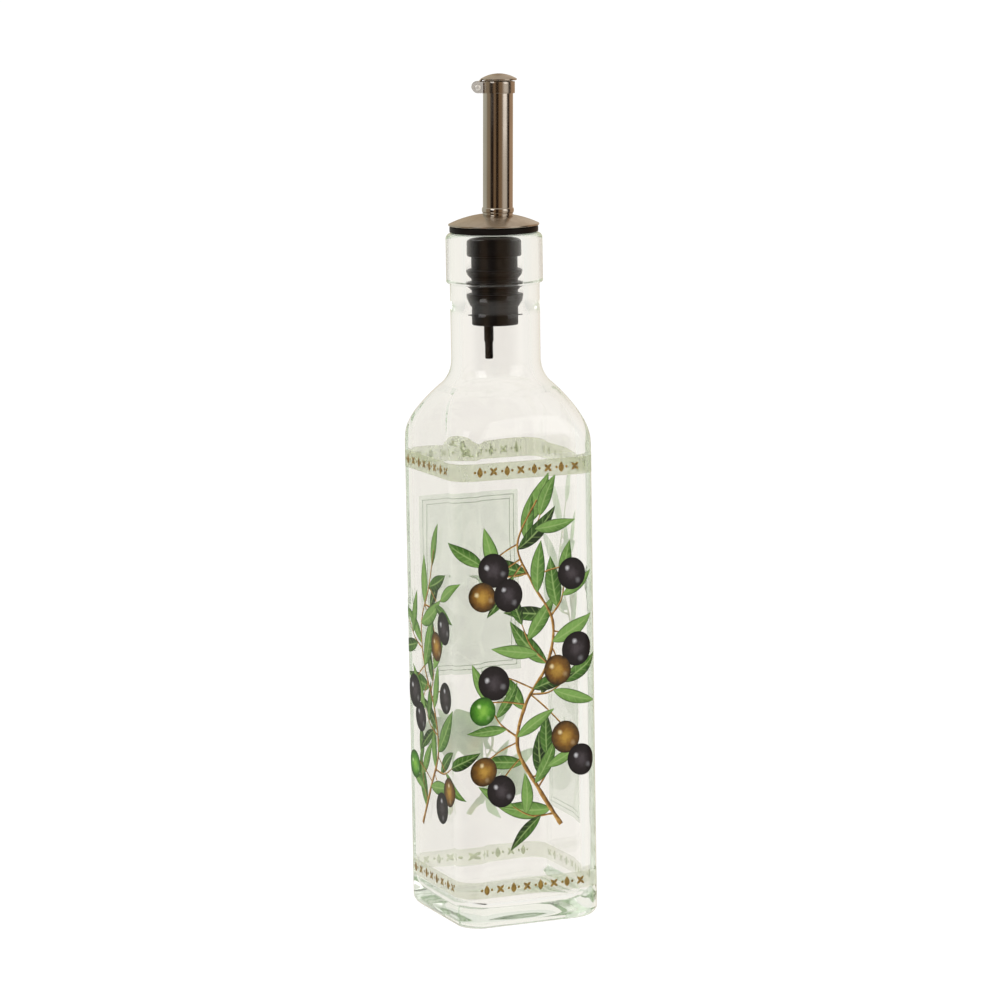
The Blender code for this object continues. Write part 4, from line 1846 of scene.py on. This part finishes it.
@dataclass
class FlipLid:
    """The domed lid, with the strap that goes down between the ears and round the pin."""

    seat: PourerFrame
    radius: float = 5.8
    shift: float = 0.3
    bottom: float = 275.6
    edge: float = 0.45
    rise: float = 1.65
    recess_radius: float = 4.3
    recess: float = 0.7
    strap_width: float = 4.2
    strap_root: float = 0.9
    eye_radius: float = 1.45
    pin_reach: float = PIN_REACH
    pin_z: float = 273.25
    eye_hole: float = 0.7

    def strap_outline(self) -> list[Point]:
        """Gives the strap's outline.

        Returns:
            Its points in X and Z.
        """
        rim_x = self.shift - self.radius
        reach, eye = self.pin_reach, self.eye_radius
        made = list(arc((-reach, self.pin_z), eye, 120, 360, 28))
        made += [
            (-reach + eye, self.bottom + self.edge * 0.3),
            (rim_x + self.strap_root, self.bottom + self.edge * 0.5),
            (rim_x + self.strap_root, self.bottom + self.edge * 1.2),
            (rim_x + 0.05, self.bottom + self.edge * 0.9),
            (rim_x - 0.6, self.bottom - 0.4),
        ]
        return made

    def build(self, finish: bpy.types.Material) -> None:
        """Builds the lid.

        Args:
            finish: Its steel.
        """
        outside = list(dome(self.radius, self.bottom + self.edge, self.rise, 20))
        outside[-1] = (*outside[-1][:2], 0.12)
        recess = list(dome(self.recess_radius - 0.2, self.bottom + 0.1, self.recess, 10))
        under = [(self.radius, self.bottom, 0.12), (self.recess_radius, self.bottom, 0.08), *reversed(recess)]
        lid = lathe("flip_lid_cap", rounded([*outside, *under]))
        lid.matrix_world = Matrix.Translation((self.shift * MM, 0, 0))
        strap = drawn_plate("strap", self.strap_outline(), self.strap_width, 0.1)
        combine(lid, strap, "UNION")
        hole = lathe("drill", [(0, 4), (self.eye_hole, 4), (self.eye_hole, -4), (0, -4)], steps=40)
        place = Matrix.Translation((-self.pin_reach * MM, 0, self.pin_z * MM))
        hole.matrix_world = place @ Matrix.Rotation(math.radians(90), 4, "X")
        combine(lid, hole, "DIFFERENCE")
        lid.matrix_world = self.seat.spout() @ lid.matrix_world
        settle(lid, [finish], "lid", "bright_steel", CAD["flip_lid"])


@dataclass(frozen=True)
class PhotoCamera:
    """The camera at the photograph's viewing angle, aimed past a point on the bottle's axis."""

    turn: float = VIEW_TURN
    pitch: float = 8.55
    roll: float = -0.93
    lens: float = 151.56
    distance: float = 1405.6
    across: float = 0.58
    above: float = 136.35

    def build(self) -> None:
        """Builds the camera and makes it the scene's."""
        turn, pitch, roll = (math.radians(x) for x in (self.turn, self.pitch, self.roll))
        level = Vector((math.sin(turn), math.cos(turn), 0))
        right = Vector((math.cos(turn), -math.sin(turn), 0))
        forward = level * math.cos(pitch) - Vector((0, 0, math.sin(pitch)))
        up = level * math.sin(pitch) + Vector((0, 0, math.cos(pitch)))
        place = (right * self.across + up * self.above - forward * self.distance) * MM
        rolled_right = right * math.cos(roll) + up * math.sin(roll)
        rolled_up = up * math.cos(roll) - right * math.sin(roll)
        data = bpy.data.cameras.new("photo_camera")
        data.lens = self.lens
        camera = bpy.data.objects.new("photo_camera", data)
        columns = Matrix((rolled_right, rolled_up, -forward)).transposed()
        camera.matrix_world = Matrix.Translation(place) @ columns.to_4x4()
        bpy.context.scene.collection.objects.link(camera)
        bpy.context.scene.camera = camera


@dataclass(frozen=True)
class Studio:
    """A plain pale floor, two softboxes, and a surround that differs by the kind of ray that meets it.

    The camera and lit surfaces see white, steel mirrors a room of light and dark bands, and the glass
    shows a warm white and, within itself, bands of its own. Surfaces behind glass get stronger light.
    The bands stand still in the scene, and were placed for the view from VIEW_TURN degrees.
    """

    turn: float = VIEW_TURN
    white: float = 1.0
    floor_size: float = 60.0
    floor_colour: float = 0.9
    floor_glow: float = 0.6
    warm_back: Colour = (0.95, 0.915, 0.86)
    inside_lift: float = 2.9
    edge_glow: Colour = (0.84, 0.85, 0.78)
    overhead: Colour = (0.60, 0.54, 0.46)
    underfoot: Colour = (0.70, 0.67, 0.62)
    inner_overhead: Colour = (0.72, 0.71, 0.68)
    glow_strength: float = 1.15
    lamp_aim: float = 0.15
    most_bounces: int = 96
    glossy_bounces: int = 80
    clear_bounces: int = 64
    see_through_layers: int = 32

    def mirrored_room(self) -> list[Stop]:
        """Gives what steel mirrors at each angle from the side that the camera is on.

        Returns:
            The ramp's stops, from -180 degrees to 180, as shares of the whole round.
        """
        grey, mid = srgb(196, 196, 184), srgb(150, 134, 112)
        dark, brown = srgb(30, 20, 14), srgb(138, 112, 84)
        light, warm = srgb(208, 198, 186), srgb(188, 158, 130)
        umber, tan, pale = srgb(168, 148, 124), srgb(206, 192, 168), srgb(224, 210, 192)
        stops = [
            (-180, umber), (-171, tan), (-150, grey), (-104, grey), (-88, mid), (-66, mid), (-54, dark),
            (-38, dark), (-28, brown), (-20, brown), (-12, dark), (0, dark), (10, brown), (28, brown),
            (42, light), (70, light), (80, dark), (92, dark), (104, warm), (140, warm), (171, pale),
            (180, umber),
        ]
        return [((angle + 180) / 360, colour) for angle, colour in stops]

    def inner_gleam(self) -> list[Stop]:
        """Gives what glass mirrors within itself at each angle from the side that the camera is on.

        Returns:
            The ramp's stops, from -180 degrees to 180, as shares of the whole round.
        """
        side, front, back = (0.92, 0.91, 0.86), (0.03, 0.025, 0.02), (0.95, 0.92, 0.86)
        half = [(0, front), (54, front), (88, side), (112, side), (140, back), (180, back)]
        stops = [(-angle, colour) for angle, colour in reversed(half)] + half[1:]
        return [((angle + 180) / 360, colour) for angle, colour in stops]

    def world(self) -> None:
        """Builds the surround, with a colour for each kind of ray."""
        made = bpy.data.worlds.new("studio")
        bpy.context.scene.world = made
        made.use_nodes = True
        made.cycles.sampling_method = "NONE"
        book = NodeBook(made.node_tree)
        way = book.add("TexCoord").outputs["Generated"]
        turn = math.radians(self.turn)
        near_way = (-math.sin(turn), -math.cos(turn), 0)
        right_way = (math.cos(turn), -math.sin(turn), 0)
        near = book.add("VectorMath", {0: way, 1: near_way}, operation="DOT_PRODUCT")
        right = book.add("VectorMath", {0: way, 1: right_way}, operation="DOT_PRODUCT")
        flat = book.add("CombineXYZ", {0: near.outputs["Value"], 1: right.outputs["Value"]})
        angle = book.add("TexGradient", {0: flat.outputs[0]}, gradient_type="RADIAL").outputs[1]
        height = book.add("SeparateXYZ", {0: way}).outputs[2]
        mirrored = book.ramp(angle, self.mirrored_room())
        mirrored = book.blend(book.spread(height, 0.42, 0.9), mirrored, self.overhead)
        mirrored = book.blend(book.spread(height, -0.35, -0.7), mirrored, self.underfoot)
        gleam = book.ramp(angle, self.inner_gleam())
        gleam = book.blend(book.spread(height, 0.3, 0.8), gleam, self.inner_overhead)
        path = book.add("LightPath").outputs
        often = book.maths("GREATER_THAN", path["Glossy Depth"], 1.5)
        gleam = book.blend(often, gleam, self.edge_glow)
        white = (self.white,) * 3
        bounced = book.maths("GREATER_THAN", path["Glossy Depth"], 0.5)
        scattered = book.maths("GREATER_THAN", path["Diffuse Depth"], 0.5)
        through = book.blend(bounced, self.warm_back, gleam)
        colour = book.blend(path["Is Glossy Ray"], white, mirrored)
        colour = book.blend(path["Is Transmission Ray"], colour, through)
        inside = book.blend(path["Is Transmission Ray"], white, (self.inside_lift,) * 3)
        colour = book.blend(scattered, colour, inside)
        colour = book.blend(path["Is Camera Ray"], colour, white)
        light = book.add("Background", {"Color": colour, "Strength": 1.0})
        book.add("OutputWorld", {"Surface": light.outputs[0]})

    def floor(self) -> None:
        """Builds the floor, which glows, and is clear to light that glass has mirrored within itself."""
        half = self.floor_size / 2
        mesh = bpy.data.meshes.new("studio_floor")
        corners = [(-half, -half, 0), (half, -half, 0), (half, half, 0), (-half, half, 0)]
        mesh.from_pydata(corners, [], [(0, 1, 2, 3)])
        floor = bpy.data.objects.new("studio_floor", mesh)
        bpy.context.scene.collection.objects.link(floor)
        material, book = new_material("pale_floor")
        paint = book.add("BsdfDiffuse", {"Color": (self.floor_colour,) * 3}).outputs[0]
        glow = book.add("Emission", {"Color": (1.0, 1.0, 1.0), "Strength": self.glow_strength}).outputs[0]
        lit = book.add("MixShader", {0: self.floor_glow, 1: paint, 2: glow}).outputs[0]
        path = book.add("LightPath").outputs
        scattered = book.maths("GREATER_THAN", path["Diffuse Depth"], 0.5)
        strength = book.spread(scattered, 0.0, 1.0, 1.0, self.inside_lift)
        warm = book.add("Emission", {"Color": self.warm_back, "Strength": strength}).outputs[0]
        clear = book.add("BsdfTransparent").outputs[0]
        seen = book.add("MixShader", {0: path["Is Transmission Ray"], 1: lit, 2: warm}).outputs[0]
        bounced = book.maths("GREATER_THAN", path["Glossy Depth"], 0.5)
        book.output(book.add("MixShader", {0: bounced, 1: seen, 2: clear}).outputs[0])
        mesh.materials.append(material)
        floor.visible_glossy = False

    def lamp(self, name: str, angle: float, height: float, away: float, size: float, watts: float) -> None:
        """Builds a softbox that looks at the bottle.

        Args:
            name: Its name.
            angle: How far round from the camera it stands, in degrees to the right.
            height: Its height, in metres.
            away: How far off it stands, in metres.
            size: Its width, in metres.
            watts: Its power.
        """
        data = bpy.data.lights.new(name, "AREA")
        data.size = size
        data.energy = watts
        lamp = bpy.data.objects.new(name, data)
        way = math.radians(self.turn - angle)
        place = Vector((-math.sin(way) * away, -math.cos(way) * away, height))
        lamp.location = place
        lamp.rotation_mode = "QUATERNION"
        lamp.rotation_quaternion = (place - Vector((0, 0, self.lamp_aim))).to_track_quat("Z", "Y")
        bpy.context.scene.collection.objects.link(lamp)

    def build(self) -> None:
        """Builds the studio."""
        self.world()
        self.floor()
        self.lamp("key_softbox", -42.0, 0.95, 1.5, 0.7, 3.0)
        self.lamp("fill_softbox", 55.0, 0.7, 1.7, 0.9, 2.0)
        scene = bpy.context.scene
        scene.view_settings.view_transform = "Standard"
        scene.view_settings.look = "None"
        scene.cycles.max_bounces = self.most_bounces
        scene.cycles.transmission_bounces = self.clear_bounces
        scene.cycles.transparent_max_bounces = self.see_through_layers
        scene.cycles.glossy_bounces = self.glossy_bounces


def main() -> None:
    """Builds the studio and the bottle, piece by piece."""
    logging.basicConfig(level=logging.INFO, format="%(name)s %(message)s")
    PhotoCamera().build()
    Studio().build()
    GlassBottle().build(ClearGlass().make())
    underside = PlainInk("underside_ink", srgb(240, 247, 226), srgb(228, 239, 214), 0.94, thin=0.3).make()
    band = PlainInk("band_ink", srgb(202, 205, 172), srgb(190, 196, 160), 0.4, 160.0, 0.4).make()
    foot_band = PlainInk("foot_band_ink", srgb(206, 208, 180), srgb(196, 200, 168), 0.24, 160.0, 0.4).make()
    gold = PlainInk("gold_ink", srgb(168, 136, 62), srgb(106, 78, 30), 1.0, 1400.0).make()
    panel = PlainInk("panel_ink", srgb(206, 216, 194), srgb(186, 200, 174), 0.24, 120.0, 0.5).make()
    panel_line = PlainInk("panel_line_ink", srgb(170, 184, 158), srgb(148, 166, 136), 0.5, thin=0.5).make()
    PrintedBands().build((band, foot_band), gold, underside)
    layers = PrintLayers()
    RearPanels(layers).build(panel, panel_line)
    BotanicalPrint(layers).build(underside)
    seat = PourerFrame()
    Stopper(seat).build(SatinBlack().make())
    long_grain = BrightSteel("tube_steel", Grain.LENGTHWISE).make()
    round_grain = BrightSteel("collar_steel", Grain.ROUND, 0.2).make()
    plain = BrightSteel("disc_steel", Grain.PLAIN, 0.2, (0.56, 0.50, 0.43), (0.45, 0.39, 0.33)).make()
    satin = BrightSteel("satin_steel", Grain.PLAIN, 0.30, (0.74, 0.71, 0.66), (0.62, 0.59, 0.54), 0.5).make()
    Spout(seat).build(long_grain, round_grain, plain, satin)
    FlipLid(seat).build(plain)
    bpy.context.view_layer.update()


if __name__ == "__main__":
    main()
